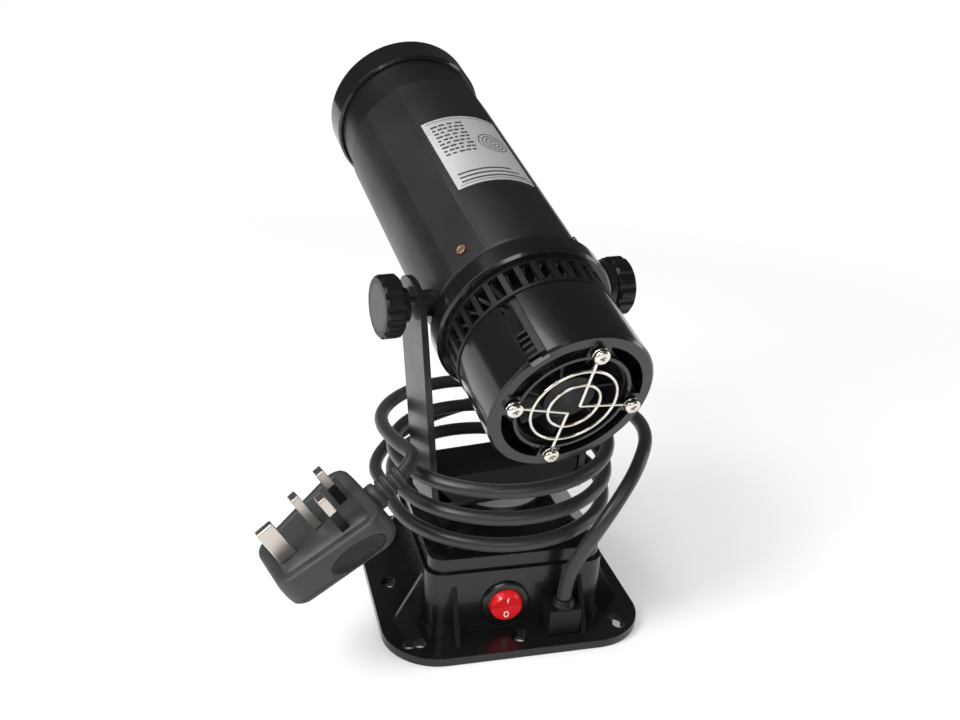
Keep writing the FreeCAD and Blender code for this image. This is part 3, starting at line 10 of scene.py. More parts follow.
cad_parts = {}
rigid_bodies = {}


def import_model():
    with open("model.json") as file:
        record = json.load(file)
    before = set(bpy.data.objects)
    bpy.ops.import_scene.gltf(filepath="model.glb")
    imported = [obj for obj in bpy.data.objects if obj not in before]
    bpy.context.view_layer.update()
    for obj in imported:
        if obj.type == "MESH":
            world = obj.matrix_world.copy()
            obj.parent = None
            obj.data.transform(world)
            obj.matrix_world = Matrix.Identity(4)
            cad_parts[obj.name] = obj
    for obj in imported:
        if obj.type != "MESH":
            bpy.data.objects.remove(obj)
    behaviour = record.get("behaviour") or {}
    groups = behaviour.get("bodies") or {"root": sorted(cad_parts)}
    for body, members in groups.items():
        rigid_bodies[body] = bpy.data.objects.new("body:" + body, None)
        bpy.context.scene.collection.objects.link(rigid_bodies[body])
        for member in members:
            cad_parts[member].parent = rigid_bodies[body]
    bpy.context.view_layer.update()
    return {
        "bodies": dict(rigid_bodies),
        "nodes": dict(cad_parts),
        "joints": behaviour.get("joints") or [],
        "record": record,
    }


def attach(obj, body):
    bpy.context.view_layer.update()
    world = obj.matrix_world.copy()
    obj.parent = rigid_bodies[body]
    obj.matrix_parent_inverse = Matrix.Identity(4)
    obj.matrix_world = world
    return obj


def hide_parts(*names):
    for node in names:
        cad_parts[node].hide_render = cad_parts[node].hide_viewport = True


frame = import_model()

bl_info = {
    "name": "Logo projector looks",
    "version": (1, 0, 0),
    "blender": (4, 5, 0),
    "location": "View3D > Sidebar > Projector",
    "description": "Finishes, cord, plug and small details of a logo projector",
    "category": "Object",
}

NODES = frame["nodes"]


def joint(name):
    """The frame's entry for a joint."""
    for entry in frame["joints"]:
        if entry["name"] == name:
            return entry
    raise RuntimeError(f"the frame has no joint {name}")


# The head's own frame: side, forward along the axis, and top, about the tilt pivot

PIVOT = Vector(joint("head_tilt")["pos_m"])
SIDE = Vector(joint("head_tilt")["axis"]).normalized()
FORWARD = Vector(joint("focus_turn")["axis"]).normalized()
TOP = SIDE.cross(FORWARD).normalized()
HEAD = Matrix.Translation(PIVOT) @ Matrix((SIDE, FORWARD, TOP)).transposed().to_4x4()
ROCKER_CENTRE = Vector(joint("switch_rock")["pos_m"])


class StageSizes(bpy.types.PropertyGroup):
    camera_azimuth: FloatProperty(
        name="Camera azimuth", description="Turn of the camera round the object",
        default=math.radians(-15.64), subtype="ANGLE")
    camera_elevation: FloatProperty(
        name="Camera elevation", description="Height of the camera as an angle above the horizon",
        default=math.radians(22.52), subtype="ANGLE")
    camera_distance: FloatProperty(
        name="Camera distance", description="From the camera to the point it looks at",
        default=0.47408, unit="LENGTH")
    camera_roll: FloatProperty(
        name="Camera roll", description="Turn of the camera about its own axis",
        default=math.radians(3.33), subtype="ANGLE")
    camera_target: FloatVectorProperty(
        name="Camera target", description="The point that the camera looks at",
        default=(-0.01224, 0.0, 0.12098), subtype="TRANSLATION", unit="LENGTH")
    focal_share: FloatProperty(
        name="Focal share", description="Focal length as a share of the picture's width",
        default=1030.36 / 960)
    floor_radius: FloatProperty(
        name="Floor radius", description="Reach of the floor", default=3.0, unit="LENGTH")
    fade_start: FloatProperty(
        name="Fade start", description="Where the floor starts to turn white", default=0.32, unit="LENGTH")
    fade_end: FloatProperty(
        name="Fade end", description="Where the floor is all white", default=0.75, unit="LENGTH")


class CordSizes(bpy.types.PropertyGroup):
    diameter: FloatProperty(
        name="Diameter", description="Outer diameter of the cord", default=0.0065, unit="LENGTH")
    wrap_radius: FloatProperty(
        name="Wrap radius", description="Radius of the turns round the yoke", default=0.052, unit="LENGTH")
    wrap_low: FloatProperty(
        name="Lowest turn", description="Height where the turns start", default=0.050, unit="LENGTH")
    wrap_pitch: FloatProperty(
        name="Pitch", description="Rise of each turn", default=0.0135, unit="LENGTH")
    wrap_turns: FloatProperty(
        name="Turns", description="Number of turns", default=2.75)
    points_per_turn: IntProperty(
        name="Points per turn", description="Control points in each turn", default=16)


class FinishColours(bpy.types.PropertyGroup):
    shell: FloatVectorProperty(
        name="Shell", description="Black of the painted metal", default=(0.0055, 0.0056, 0.006),
        subtype="COLOR")
    moulded: FloatVectorProperty(
        name="Moulded", description="Black of the moulded base", default=(0.006, 0.006, 0.0065),
        subtype="COLOR")
    cord: FloatVectorProperty(
        name="Cord", description="Black of the cord", default=(0.011, 0.011, 0.012), subtype="COLOR")
    plug: FloatVectorProperty(
        name="Plug", description="Dark grey of the plug", default=(0.024, 0.025, 0.0255), subtype="COLOR")
    rocker: FloatVectorProperty(
        name="Rocker", description="Red of the rocker", default=(0.68, 0.012, 0.016), subtype="COLOR")
    label: FloatVectorProperty(
        name="Label", description="Silver of the label", default=(0.52, 0.53, 0.535),
        subtype="COLOR")
    wire: FloatVectorProperty(
        name="Guard wire", description="Warm nickel of the fan guard", default=(0.74, 0.70, 0.63),
        subtype="COLOR")


# Materials

COAT_ROUGHNESS = 0.08
CLOUD_SCALE = 28
CLOUD_DETAIL = 4
GRAIN_DETAIL = 2
ROUGH_LOW = 0.85
ROUGH_HIGH = 1.15
BEVEL_SAMPLES = 4
GLASS_CLEAR = 0.9
GLASS_COAT = 0.6
GLASS_COAT_TINT = (0.6, 0.5, 0.95, 1)
GLASS_CLOUD_SCALE = 60
GLASS_ROUGHER = 3


def new_material(name):
    material = bpy.data.materials.new(name)
    material.use_nodes = True
    tree = material.node_tree
    shader = tree.nodes["Principled BSDF"]
    return material, tree, shader


def link(tree, source, target):
    tree.links.new(source, target)


def mapped(tree, in_head=False, scale=(1, 1, 1)):
    """Object coordinates, or the head's own coordinates with forward along Y."""
    coordinates = tree.nodes.new("ShaderNodeTexCoord")
    output = coordinates.outputs["Object"]
    if in_head:
        turn = tree.nodes.new("ShaderNodeMapping")
        back = HEAD.inverted()
        turn.inputs["Location"].default_value = back.to_translation()
        turn.inputs["Rotation"].default_value = back.to_euler()
        link(tree, output, turn.inputs["Vector"])
        output = turn.outputs["Vector"]
    if scale != (1, 1, 1):
        stretch = tree.nodes.new("ShaderNodeMapping")
        stretch.inputs["Scale"].default_value = scale
        link(tree, output, stretch.inputs["Vector"])
        output = stretch.outputs["Vector"]
    return output


def noise(tree, vector, scale, detail=3.0):
    texture = tree.nodes.new("ShaderNodeTexNoise")
    texture.inputs["Scale"].default_value = scale
    texture.inputs["Detail"].default_value = detail
    link(tree, vector, texture.inputs["Vector"])
    return texture.outputs["Fac"]


def ranged(tree, value, low, high, start=0.3, end=0.7):
    scaled = tree.nodes.new("ShaderNodeMapRange")
    scaled.inputs["From Min"].default_value = start
    scaled.inputs["From Max"].default_value = end
    scaled.inputs["To Min"].default_value = low
    scaled.inputs["To Max"].default_value = high
    link(tree, value, scaled.inputs["Value"])
    return scaled.outputs["Result"]


def mottled(tree, shader, colour, value, spread):
    """Base colour that varies a little with a noise value."""
    mix = tree.nodes.new("ShaderNodeMix")
    mix.data_type = "RGBA"
    mix.inputs["A"].default_value = (*[part * (1 - spread) for part in colour], 1)
    mix.inputs["B"].default_value = (*[min(1, part * (1 + spread)) for part in colour], 1)
    link(tree, value, mix.inputs["Factor"])
    link(tree, mix.outputs["Result"], shader.inputs["Base Color"])


def edged_bump(tree, shader, height, strength, depth, edge):
    """Rounded edges from a bevel node, with a fine bump on top."""
    bevel = tree.nodes.new("ShaderNodeBevel")
    bevel.samples = BEVEL_SAMPLES
    bevel.inputs["Radius"].default_value = edge
    bump = tree.nodes.new("ShaderNodeBump")
    bump.inputs["Strength"].default_value = strength
    bump.inputs["Distance"].default_value = depth
    link(tree, bevel.outputs["Normal"], bump.inputs["Normal"])
    link(tree, height, bump.inputs["Height"])
    link(tree, bump.outputs["Normal"], shader.inputs["Normal"])


def finish(name, colour, rough, metal=0.0, coat=0.0, grain=900, depth=0.00002, strength=0.4,
           spread=0.15, stretch=(1, 1, 1), in_head=False, edge=0.0003, sheen=0.0, shine=0.5):
    """A solid finish: mottled colour, uneven gloss and a fine grain."""
    material, tree, shader = new_material(name)
    shader.inputs["Metallic"].default_value = metal
    shader.inputs["Specular IOR Level"].default_value = shine
    shader.inputs["Coat Weight"].default_value = coat
    shader.inputs["Coat Roughness"].default_value = COAT_ROUGHNESS
    shader.inputs["Sheen Weight"].default_value = sheen
    plain = mapped(tree, in_head)
    fine = mapped(tree, in_head, stretch)
    cloud = noise(tree, plain, CLOUD_SCALE, CLOUD_DETAIL)
    mottled(tree, shader, colour, cloud, spread)
    link(tree, ranged(tree, cloud, rough * ROUGH_LOW, rough * ROUGH_HIGH), shader.inputs["Roughness"])
    edged_bump(tree, shader, noise(tree, fine, grain, GRAIN_DETAIL), strength, depth, edge)
    return material


def glass_finish(name, tint, rough=0.02):
    """Clear glass with a violet coating."""
    material, tree, shader = new_material(name)
    shader.inputs["Base Color"].default_value = (*tint, 1)
    shader.inputs["Transmission Weight"].default_value = GLASS_CLEAR
    shader.inputs["Coat Weight"].default_value = GLASS_COAT
    shader.inputs["Coat Tint"].default_value = GLASS_COAT_TINT
    cloud = noise(tree, mapped(tree), GLASS_CLOUD_SCALE, GRAIN_DETAIL)
    link(tree, ranged(tree, cloud, rough, rough * GLASS_ROUGHER), shader.inputs["Roughness"])
    return material


FINISHES = {}


def make_finishes():
    """Every finish of the object, under the short word that the pieces use."""
    colours = bpy.context.scene.projector_finish
    shell = tuple(colours.shell)
    FINISHES.update({
        "barrel": finish("barrel_paint", tuple(part * 1.3 for part in shell), 0.42, coat=0.08, grain=1300,
                         depth=0.00007, strength=0.7, stretch=(1, 0.35, 1), in_head=True),
        "brushed": finish("neck_paint", tuple(part * 1.5 for part in shell), 0.35, metal=0.3, grain=1600,
                          depth=0.00005, strength=0.7, stretch=(0.15, 2.5, 0.15), in_head=True),
        "gloss": finish("gloss_paint", shell, 0.20, coat=0.35, grain=500, depth=0.000008, in_head=True,
                        edge=0.0005, shine=0.32),
        "ribs": finish("rib_paint", shell, 0.42, grain=1200, in_head=True, shine=0.35),
        "moulded": finish("moulded_base", tuple(colours.moulded), 0.24, coat=0.2, grain=420, depth=0.00001,
                          edge=0.0005, shine=0.35),
        "satin": finish("satin_plastic", (0.006, 0.006, 0.0065), 0.45, grain=1500, depth=0.00003, shine=0.3),
        "strap": finish("strap_paint", (0.008, 0.008, 0.009), 0.31, metal=0.25, coat=0.15, grain=800,
                        depth=0.00001, edge=0.0004),
        "knob": finish("knob_plastic", (0.005, 0.005, 0.0055), 0.38, grain=1800, depth=0.00005, edge=0.0004,
                       shine=0.28),
        "cord": finish("cord_jacket", tuple(colours.cord), 0.40, grain=700, sheen=0.1),
        "plug": finish("plug_plastic", tuple(colours.plug), 0.55, grain=1900, depth=0.00005, strength=0.6),
        "red": finish("rocker_red", tuple(colours.rocker), 0.25, coat=0.5, grain=300, depth=0.000005),
        "white": finish("marking_white", (0.8, 0.8, 0.8), 0.4, grain=900),
        "label": finish("label_foil", tuple(colours.label), 0.38, metal=0.55, grain=1200, depth=0.00001,
                        spread=0.06, in_head=True),
        "print": finish("label_print", (0.05, 0.05, 0.055), 0.5, grain=900, in_head=True),
        "nickel": finish("guard_nickel", tuple(colours.wire), 0.22, metal=1.0, grain=600, depth=0.00001),
        "steel": finish("zinc_steel", (0.55, 0.56, 0.58), 0.30, metal=1.0, grain=900, depth=0.00001),
        "brass": finish("pin_brass", (0.72, 0.55, 0.28), 0.28, metal=1.0, grain=700, depth=0.00001),
        "bronze": finish("seam_bronze", (0.22, 0.14, 0.08), 0.38, metal=0.8, grain=700, depth=0.00001),
        "pins": finish("prong_nickel", (0.62, 0.57, 0.52), 0.33, metal=1.0, grain=700, depth=0.00001),
        "disc": finish("knob_face", (0.018, 0.018, 0.019), 0.40, metal=0.1, coat=0.1, grain=1100),
        "aluminium": finish("bare_aluminium", (0.62, 0.63, 0.65), 0.34, metal=1.0, grain=1500,
                            stretch=(0.2, 2.0, 0.2), in_head=True),
        "board": finish("board_green", (0.02, 0.12, 0.05), 0.4, grain=600),
        "yellow": finish("yellow_tape", (0.70, 0.55, 0.10), 0.5, grain=600),
        "grey": finish("washer_grey", (0.25, 0.25, 0.26), 0.5, grain=900),
        "glass": glass_finish("lens_glass", (0.92, 0.95, 0.97)),
    })


NODE_FINISH = {
    "barrel": ("barrel_body", "lens_retainer"),
    "brushed": ("front_neck",),
    "gloss": ("focus_ring", "rear_ring", "rear_cup"),
    "ribs": ("vent_ribs",),
    "moulded": ("base_housing", "base_cover", "base_lid", "switch_body"),
    "satin": ("turret_block", "cable_gland", "fan_frame", "fan_rotor", "plug_pin_sleeves",
              "driver_capacitors"),
    "strap": ("yoke_bracket",),
    "knob": ("knob_left", "knob_right"),
    "cord": ("cord_rise", "cord_wraps", "cord_tail"),
    "plug": ("plug_body", "plug_cover", "plug_strain_relief"),
    "red": ("switch_rocker",),
    "label": ("label_plate",),
    "nickel": ("fan_guard", "guard_screws"),
    "steel": ("cover_screws", "lid_screws", "block_screws", "swivel_bolt", "swivel_nut", "plug_screw",
              "knob_left_stud", "knob_right_stud", "focus_pin"),
    "brass": ("switch_terminals",),
    "bronze": ("barrel_screws",),
    "pins": ("plug_pins",),
    "disc": ("knob_left_disc", "knob_right_disc"),
    "aluminium": ("lens_cell", "gobo_holder", "condenser_holder", "heatsink", "led_plate"),
    "board": ("driver_board",),
    "yellow": ("driver_transformer", "led_module"),
    "grey": ("friction_washer",),
    "glass": ("front_lens", "gobo_disc", "condenser_lens"),
}


def dress_nodes():
    """Gives every solid of the frame its finish."""
    dressed = set()
    for kind, names in NODE_FINISH.items():
        for name in names:
            mesh = NODES[name].data
            mesh.materials.clear()
            mesh.materials.append(FINISHES[kind])
            dressed.add(name)
    left = set(NODES) - dressed
    if left:
        raise RuntimeError(f"nodes without a finish: {sorted(left)}")


# Mesh helpers

MERGE_GAP = 1e-7


def add_object(name, mesh, kind, body, smooth=True):
    """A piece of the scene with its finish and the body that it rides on."""
    thing = bpy.data.objects.new(name, mesh)
    bpy.context.scene.collection.objects.link(thing)
    if hasattr(mesh, "polygons"):
        for face in mesh.polygons:
            face.use_smooth = smooth
    mesh.materials.clear()
    mesh.materials.append(FINISHES[kind])
    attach(thing, body)
    return thing


def mesh_from(name, build):
    """A mesh from a function that fills a bmesh."""
    shape = bmesh.new()
    build(shape)
    bmesh.ops.remove_doubles(shape, verts=shape.verts, dist=MERGE_GAP)
    bmesh.ops.recalc_face_normals(shape, faces=shape.faces)
    mesh = bpy.data.meshes.new(name)
    shape.to_mesh(mesh)
    shape.free()
    return mesh


# Frames of the pieces: REAR looks out of the fan's face, FRONT_WALL out of the wall with the rocker

def frame_of(x_way, y_way, origin):
    """A frame at a point, from the ways of its X and Y."""
    z_way = x_way.cross(y_way)
    return Matrix.Translation(origin) @ Matrix((x_way, y_way, z_way)).transposed().to_4x4()


REAR = frame_of(SIDE, TOP, PIVOT)
FRONT_WALL = frame_of(Vector((1, 0, 0)), Vector((0, 0, 1)), ROCKER_CENTRE)


class HeadSizes(bpy.types.PropertyGroup):
    barrel_radius: FloatProperty(
        name="Barrel radius", description="Outer radius of the barrel", default=0.0385, unit="LENGTH")
    line_angle: FloatProperty(
        name="Line angle", description="Angle of the pressed lines from the top",
        default=math.radians(33.5), subtype="ANGLE")
    line_gap: FloatProperty(
        name="Line gap", description="Distance between the two pressed lines", default=0.0013, unit="LENGTH")
    line_radius: FloatProperty(
        name="Line radius", description="Radius of a pressed line", default=0.00022, unit="LENGTH")
    line_start: FloatProperty(
        name="Line start", description="Rear end of the lines along the axis", default=-0.005, unit="LENGTH")
    line_end: FloatProperty(
        name="Line end", description="Front end of the lines along the axis", default=0.1255, unit="LENGTH")
    label_radius: FloatProperty(
        name="Label radius", description="Radius of the label's face", default=0.0388, unit="LENGTH")
    label_start: FloatProperty(
        name="Label start", description="Rear end of the label along the axis", default=0.035, unit="LENGTH")
    label_length: FloatProperty(
        name="Label length", description="Length of the label along the axis", default=0.054, unit="LENGTH")
    label_angle: FloatProperty(
        name="Label angle", description="Half of the label's angle round the axis",
        default=math.radians(29), subtype="ANGLE")
    print_lift: FloatProperty(
        name="Print lift", description="Thickness of the print", default=0.00006, unit="LENGTH")
    print_inset: FloatProperty(
        name="Print inset", description="From the label's edge to the print", default=0.0016, unit="LENGTH")
    print_line: FloatProperty(
        name="Print line", description="Width of the thin lines", default=0.0003, unit="LENGTH")
    print_row: FloatProperty(
        name="Print row", description="Distance between two rows", default=0.0029, unit="LENGTH")
    print_picture: FloatProperty(
        name="Picture radius", description="Radius of the rings", default=0.0075, unit="LENGTH")


class RearSizes(bpy.types.PropertyGroup):
    screw_radius: FloatProperty(
        name="Screw circle", description="Radius of the circle of the guard's screws", default=0.02828,
        unit="LENGTH")
    screw_angle: FloatProperty(
        name="Screw angle", description="Turn of the guard's screws from the top",
        default=math.radians(7.5), subtype="ANGLE")
    screw_seat: FloatProperty(
        name="Screw seat", description="Where the screw heads sit, behind the pivot", default=0.07135,
        unit="LENGTH")
    head_radius: FloatProperty(
        name="Head radius", description="Radius of a screw head", default=0.0036, unit="LENGTH")
    head_rise: FloatProperty(
        name="Head rise", description="Height of a screw head", default=0.0024, unit="LENGTH")
    shank_radius: FloatProperty(
        name="Shank radius", description="Radius of a screw's shank", default=0.002, unit="LENGTH")
    shank_length: FloatProperty(
        name="Shank length", description="Length of a screw's shank", default=0.014, unit="LENGTH")
    cup_radius: FloatProperty(
        name="Cup radius", description="Outer radius of the cup", default=0.037, unit="LENGTH")
    slot_angle: FloatProperty(
        name="Slot angle", description="Angle of the cup's slot from the top, towards the left",
        default=math.radians(38.5), subtype="ANGLE")


# Geometry Nodes: copies of one piece round a circle

def group_input(tree, name, kind, value=None):
    """A named input of a tree, and the identifier that a modifier sets it by."""
    socket = tree.interface.new_socket(name=name, in_out="INPUT", socket_type=kind)
    if value is not None:
        socket.default_value = value
    return socket.identifier


def math_node(tree, operation, first, second=None):
    """The result of a sum of one or two values, each a number or a socket."""
    node = tree.nodes.new("ShaderNodeMath")
    node.operation = operation
    for slot_index, value in enumerate((first, second)):
        if value is None:
            continue
        if isinstance(value, (int, float)):
            node.inputs[slot_index].default_value = value
        else:
            link(tree, value, node.inputs[slot_index])
    return node.outputs[0]


def circle_group():
    """Copies of a piece on points round a circle, each turned to its own angle."""
    tree = bpy.data.node_groups.new("copies_round_a_circle", "GeometryNodeTree")
    names = {
        "piece": group_input(tree, "Piece", "NodeSocketObject"),
        "count": group_input(tree, "Count", "NodeSocketInt", 4),
        "radius": group_input(tree, "Radius", "NodeSocketFloat", 0.02),
        "start": group_input(tree, "Start", "NodeSocketFloat", 0.0),
        "finish": group_input(tree, "Finish", "NodeSocketMaterial"),
    }
    tree.interface.new_socket(name="Geometry", in_out="OUTPUT", socket_type="NodeSocketGeometry")
    inputs = tree.nodes.new("NodeGroupInput")
    outputs = tree.nodes.new("NodeGroupOutput")
    index = tree.nodes.new("GeometryNodeInputIndex")
    share = math_node(tree, "DIVIDE", index.outputs[0], inputs.outputs["Count"])
    angle = math_node(tree, "ADD", math_node(tree, "MULTIPLY", share, math.tau), inputs.outputs["Start"])
    place = tree.nodes.new("ShaderNodeCombineXYZ")
    for axis, wave in (("X", "COSINE"), ("Y", "SINE")):
        value = math_node(tree, "MULTIPLY", math_node(tree, wave, angle), inputs.outputs["Radius"])
        link(tree, value, place.inputs[axis])
    turned = tree.nodes.new("ShaderNodeCombineXYZ")
    link(tree, angle, turned.inputs["Z"])
    points = tree.nodes.new("GeometryNodePoints")
    link(tree, inputs.outputs["Count"], points.inputs["Count"])
    link(tree, place.outputs["Vector"], points.inputs["Position"])
    piece = tree.nodes.new("GeometryNodeObjectInfo")
    link(tree, inputs.outputs["Piece"], piece.inputs["Object"])
    copies = tree.nodes.new("GeometryNodeInstanceOnPoints")
    link(tree, points.outputs[0], copies.inputs["Points"])
    link(tree, piece.outputs["Geometry"], copies.inputs["Instance"])
    link(tree, turned.outputs["Vector"], copies.inputs["Rotation"])
    real = tree.nodes.new("GeometryNodeRealizeInstances")
    link(tree, copies.outputs["Instances"], real.inputs["Geometry"])
    painted = tree.nodes.new("GeometryNodeSetMaterial")
    link(tree, real.outputs["Geometry"], painted.inputs["Geometry"])
    link(tree, inputs.outputs["Finish"], painted.inputs["Material"])
    link(tree, painted.outputs["Geometry"], outputs.inputs["Geometry"])
    return tree, names


def copies_round(name, piece_mesh, count, radius, start, frame, kind, body):
    """One piece of the scene that holds count copies of a mesh round the frame's own Z."""
    tree, names = circle_group()
    scene = bpy.context.scene
    piece = bpy.data.objects.new(f"{name}_piece", piece_mesh)
    scene.collection.objects.link(piece)
    carrier = bpy.data.objects.new(f"{name}_carrier", bpy.data.meshes.new(f"{name}_carrier"))
    scene.collection.objects.link(carrier)
    modifier = carrier.modifiers.new("copies", "NODES")
    modifier.node_group = tree
    values = {"piece": piece, "count": count, "radius": radius, "start": start, "finish": FINISHES[kind]}
    for key, value in values.items():
        modifier[names[key]] = value
    depsgraph = bpy.context.evaluated_depsgraph_get()
    mesh = bpy.data.meshes.new_from_object(carrier.evaluated_get(depsgraph))
    bpy.data.objects.remove(carrier)
    bpy.data.objects.remove(piece)
    if not mesh.vertices:
        raise RuntimeError(f"{name} is empty")
    mesh.name = name
    mesh.transform(frame)
    return add_object(name, mesh, kind, body)


# Mesh builders

def lathe(shape, outline, steps=32, frame=Matrix.Identity(4)):
    """Turns an outline of (radius, height) round the frame's Z, and returns its rings of points."""
    rings = []
    for radius, height in outline:
        if radius < MERGE_GAP:
            rings.append([shape.verts.new(frame @ Vector((0, 0, height)))])
            continue
        rings.append([shape.verts.new(frame @ Vector((radius * math.cos(math.tau * step / steps),
                                                      radius * math.sin(math.tau * step / steps), height)))
                      for step in range(steps)])
    join_rings(shape, rings)
    return rings


def join_rings(shape, rings):
    """Faces between each ring of points and the next; a ring of one point makes a fan."""
    for low, high in zip(rings, rings[1:]):
        for step in range(max(len(low), len(high))):
            corners = [low[step % len(low)], low[(step + 1) % len(low)],
                       high[(step + 1) % len(high)], high[step % len(high)]]
            unique = []
            for corner in corners:
                if corner not in unique:
                    unique.append(corner)
            if len(unique) > 2:
                shape.faces.new(unique)


def close_ends(shape, rings):
    """A flat face on the first ring and on the last."""
    for ring in (rings[0], rings[-1]):
        shape.faces.new(ring)


HEAD_FLAT = 0.55
HEAD_ROUND = 0.45
HEAD_WALL = 0.35
HEAD_DOME = 0.65


def rounded(radius, rise, steps=6):
    """Points of a rounded screw head from its rim up to its flat top."""
    points = []
    for step in range(steps + 1):
        angle = math.pi / 2 * step / steps
        points.append((radius * (HEAD_FLAT + HEAD_ROUND * math.cos(angle)),
                       rise * (HEAD_WALL + HEAD_DOME * math.sin(angle))))
    return points


SCREW_STEPS = 48
CROSS_REACH = 0.48
CROSS_WIDE = 0.16
CROSS_DEEP = 0.55
CROSS_TAPER = 0.7


def cross_screw_mesh(name, radius, rise, shank, length):
    """A pan head with a cross recess, its seat at height zero and its shank below."""

    def build(shape):
        outline = [(0, -length), (shank, -length), (shank, 0), (radius, 0), *rounded(radius, rise)]
        rings = lathe(shape, outline, SCREW_STEPS)
        cross = cross_outline(radius * CROSS_REACH, radius * CROSS_WIDE)
        top = [shape.verts.new((x, y, rise)) for x, y in cross]
        floor = rise - rise * CROSS_DEEP
        low = [shape.verts.new((x * CROSS_TAPER, y * CROSS_TAPER, floor)) for x, y in cross]
        join_rings(shape, [low, top])
        shape.faces.new(low)
        bridge(shape, rings[-1], top)

    return mesh_from(name, build)


def cross_outline(reach, wide):
    """The twelve corners of a cross."""
    corners = [(reach, -wide), (reach, wide), (wide, wide)]
    points = []
    for quarter in range(4):
        turn_by = math.pi / 2 * quarter
        for x, y in corners:
            points.append((x * math.cos(turn_by) - y * math.sin(turn_by),
                           x * math.sin(turn_by) + y * math.cos(turn_by)))
    return points


def bridge(shape, outer, inner):
    """Fills the flat ring between an outer circle and an inner star outline."""
    edges = []
    for ring in (outer, inner):
        for start, end in zip(ring, [*ring[1:], ring[0]]):
            edge = shape.edges.get((start, end)) or shape.edges.new((start, end))
            edges.append(edge)
    bmesh.ops.triangle_fill(shape, edges=edges, use_beauty=True)


def on_barrel(radius, angle, along):
    """A point of the head at an angle from the top towards the right, seen from behind."""
    return PIVOT + SIDE * (radius * math.sin(angle)) + TOP * (radius * math.cos(angle)) + FORWARD * along


def arc_patch(shape, low, high, start, end, rear, front, steps):
    """A thin curved plate on the barrel, from radius low to high, between two angles and two places."""
    rings = []
    for step in range(steps + 1):
        angle = start + (end - start) * step / steps
        rings.append([shape.verts.new(on_barrel(radius, angle, along))
                      for radius, along in ((low, rear), (high, rear), (high, front), (low, front))])
    join_rings(shape, rings)
    close_ends(shape, rings)


# Head: pressed lines, the print on the label and seam screws

LINES_PER_SIDE = 2
LINE_STEPS = 8
LINE_SUNK = 0.4


def make_head_lines():
    """Two fine raised lines on each side of the barrel's top."""
    sizes = bpy.context.scene.projector_head

    def build(shape):
        for side in (-1, 1):
            for index in range(LINES_PER_SIDE):
                shift = sizes.line_gap * index / sizes.barrel_radius
                angle = side * (sizes.line_angle - shift)
                rings = []
                for along in (sizes.line_start, sizes.line_end):
                    centre = on_barrel(sizes.barrel_radius - sizes.line_radius * LINE_SUNK, angle, along)
                    ring = []
                    for step in range(LINE_STEPS):
                        turned = math.tau * step / LINE_STEPS
                        ring.append(shape.verts.new(
                            centre + SIDE * (math.cos(turned) * sizes.line_radius)
                            + TOP * (math.sin(turned) * sizes.line_radius)))
                    rings.append(ring)
                join_rings(shape, rings)
                close_ends(shape, rings)

    add_object("barrel_lines", mesh_from("barrel_lines", build), "barrel", "head")


LABEL_ROWS = 9
LABEL_RINGS = 4
RING_STEPS = 28
RING_LINE = 1.6
FRAME_STEPS = 20
WORD_STEPS = 3
WORDS_LEAST = 4
WORD_CYCLE = 3
WORD_FILL = 0.82
WORD_SHORTER = 0.13
WORD_HEIGHT = 0.4
FOOT_ROWS = 3
FOOT_STEPS = 12
FOOT_HEIGHT = 0.35
PICTURE_ALONG = 0.42
PICTURE_ACROSS = 0.52


def ring_on_barrel(shape, low, high, angle, along, outer, wide):
    """A thin flat ring bent onto the barrel round a point."""
    rings = []
    for step in range(RING_STEPS):
        turned = math.tau * step / RING_STEPS
        ring = []
        for radius, reach in ((low, outer - wide), (high, outer - wide), (high, outer), (low, outer)):
            ring.append(shape.verts.new(on_barrel(radius, angle + math.cos(turned) * reach / low,
                                                  along + math.sin(turned) * reach)))
        rings.append(ring)
    join_rings(shape, [*rings, rings[0]])


def make_label_print():
    """Two border lines, rows of small bars that stand for text, and plain rings as a picture."""
    sizes = bpy.context.scene.projector_head
    low = sizes.label_radius
    high = low + sizes.print_lift
    rear = sizes.label_start
    front = rear + sizes.label_length
    inset = sizes.print_inset
    line = sizes.print_line
    row_step = sizes.print_row
    inset_angle = inset / low
    left = -sizes.label_angle + inset_angle
    right = sizes.label_angle - inset_angle
    room = sizes.label_angle - inset_angle * 2

    def build(shape):
        arc_patch(shape, low, high, left, right, front - inset - line, front - inset, FRAME_STEPS)
        arc_patch(shape, low, high, left, right, rear + inset, rear + inset + line, FRAME_STEPS)
        for row in range(LABEL_ROWS):
            along = front - inset * 2 - row_step * (row + 1)
            words = WORDS_LEAST + (row * 2) % WORD_CYCLE
            for word in range(words):
                start = left + inset_angle + room * word / words
                fill = WORD_FILL - WORD_SHORTER * ((row * 2 + word) % WORD_CYCLE)
                arc_patch(shape, low, high, start, start + room / words * fill,
                          along, along + row_step * WORD_HEIGHT, WORD_STEPS)
        for row in range(FOOT_ROWS):
            along = rear + inset * 2 + row_step * row
            arc_patch(shape, low, high, left + inset_angle, right - inset_angle * (1 + row * 2),
                      along, along + row_step * FOOT_HEIGHT, FOOT_STEPS)
        middle = front - sizes.label_length * PICTURE_ALONG
        for ring in range(LABEL_RINGS):
            ring_on_barrel(shape, low, high, right * PICTURE_ACROSS, middle,
                           sizes.print_picture * (ring + 1) / LABEL_RINGS, line * RING_LINE)

    add_object("label_print", mesh_from("label_print", build), "print", "head")


SEAM_ANGLE = math.radians(47)
SEAM_ALONG = 0.003
SEAM_DEPTH = 0.001
SEAM_LIFT = 0.0008
SEAM_STEPS = 40
SEAM_PROFILE = ((0.0009, 0.0001), (0.0012, 0.00035), (0.0020, 0.00045), (0.0024, 0.0002), (0.00245, -0.0002),
                (0.0009, -0.0002), (0.0009, 0.0001))


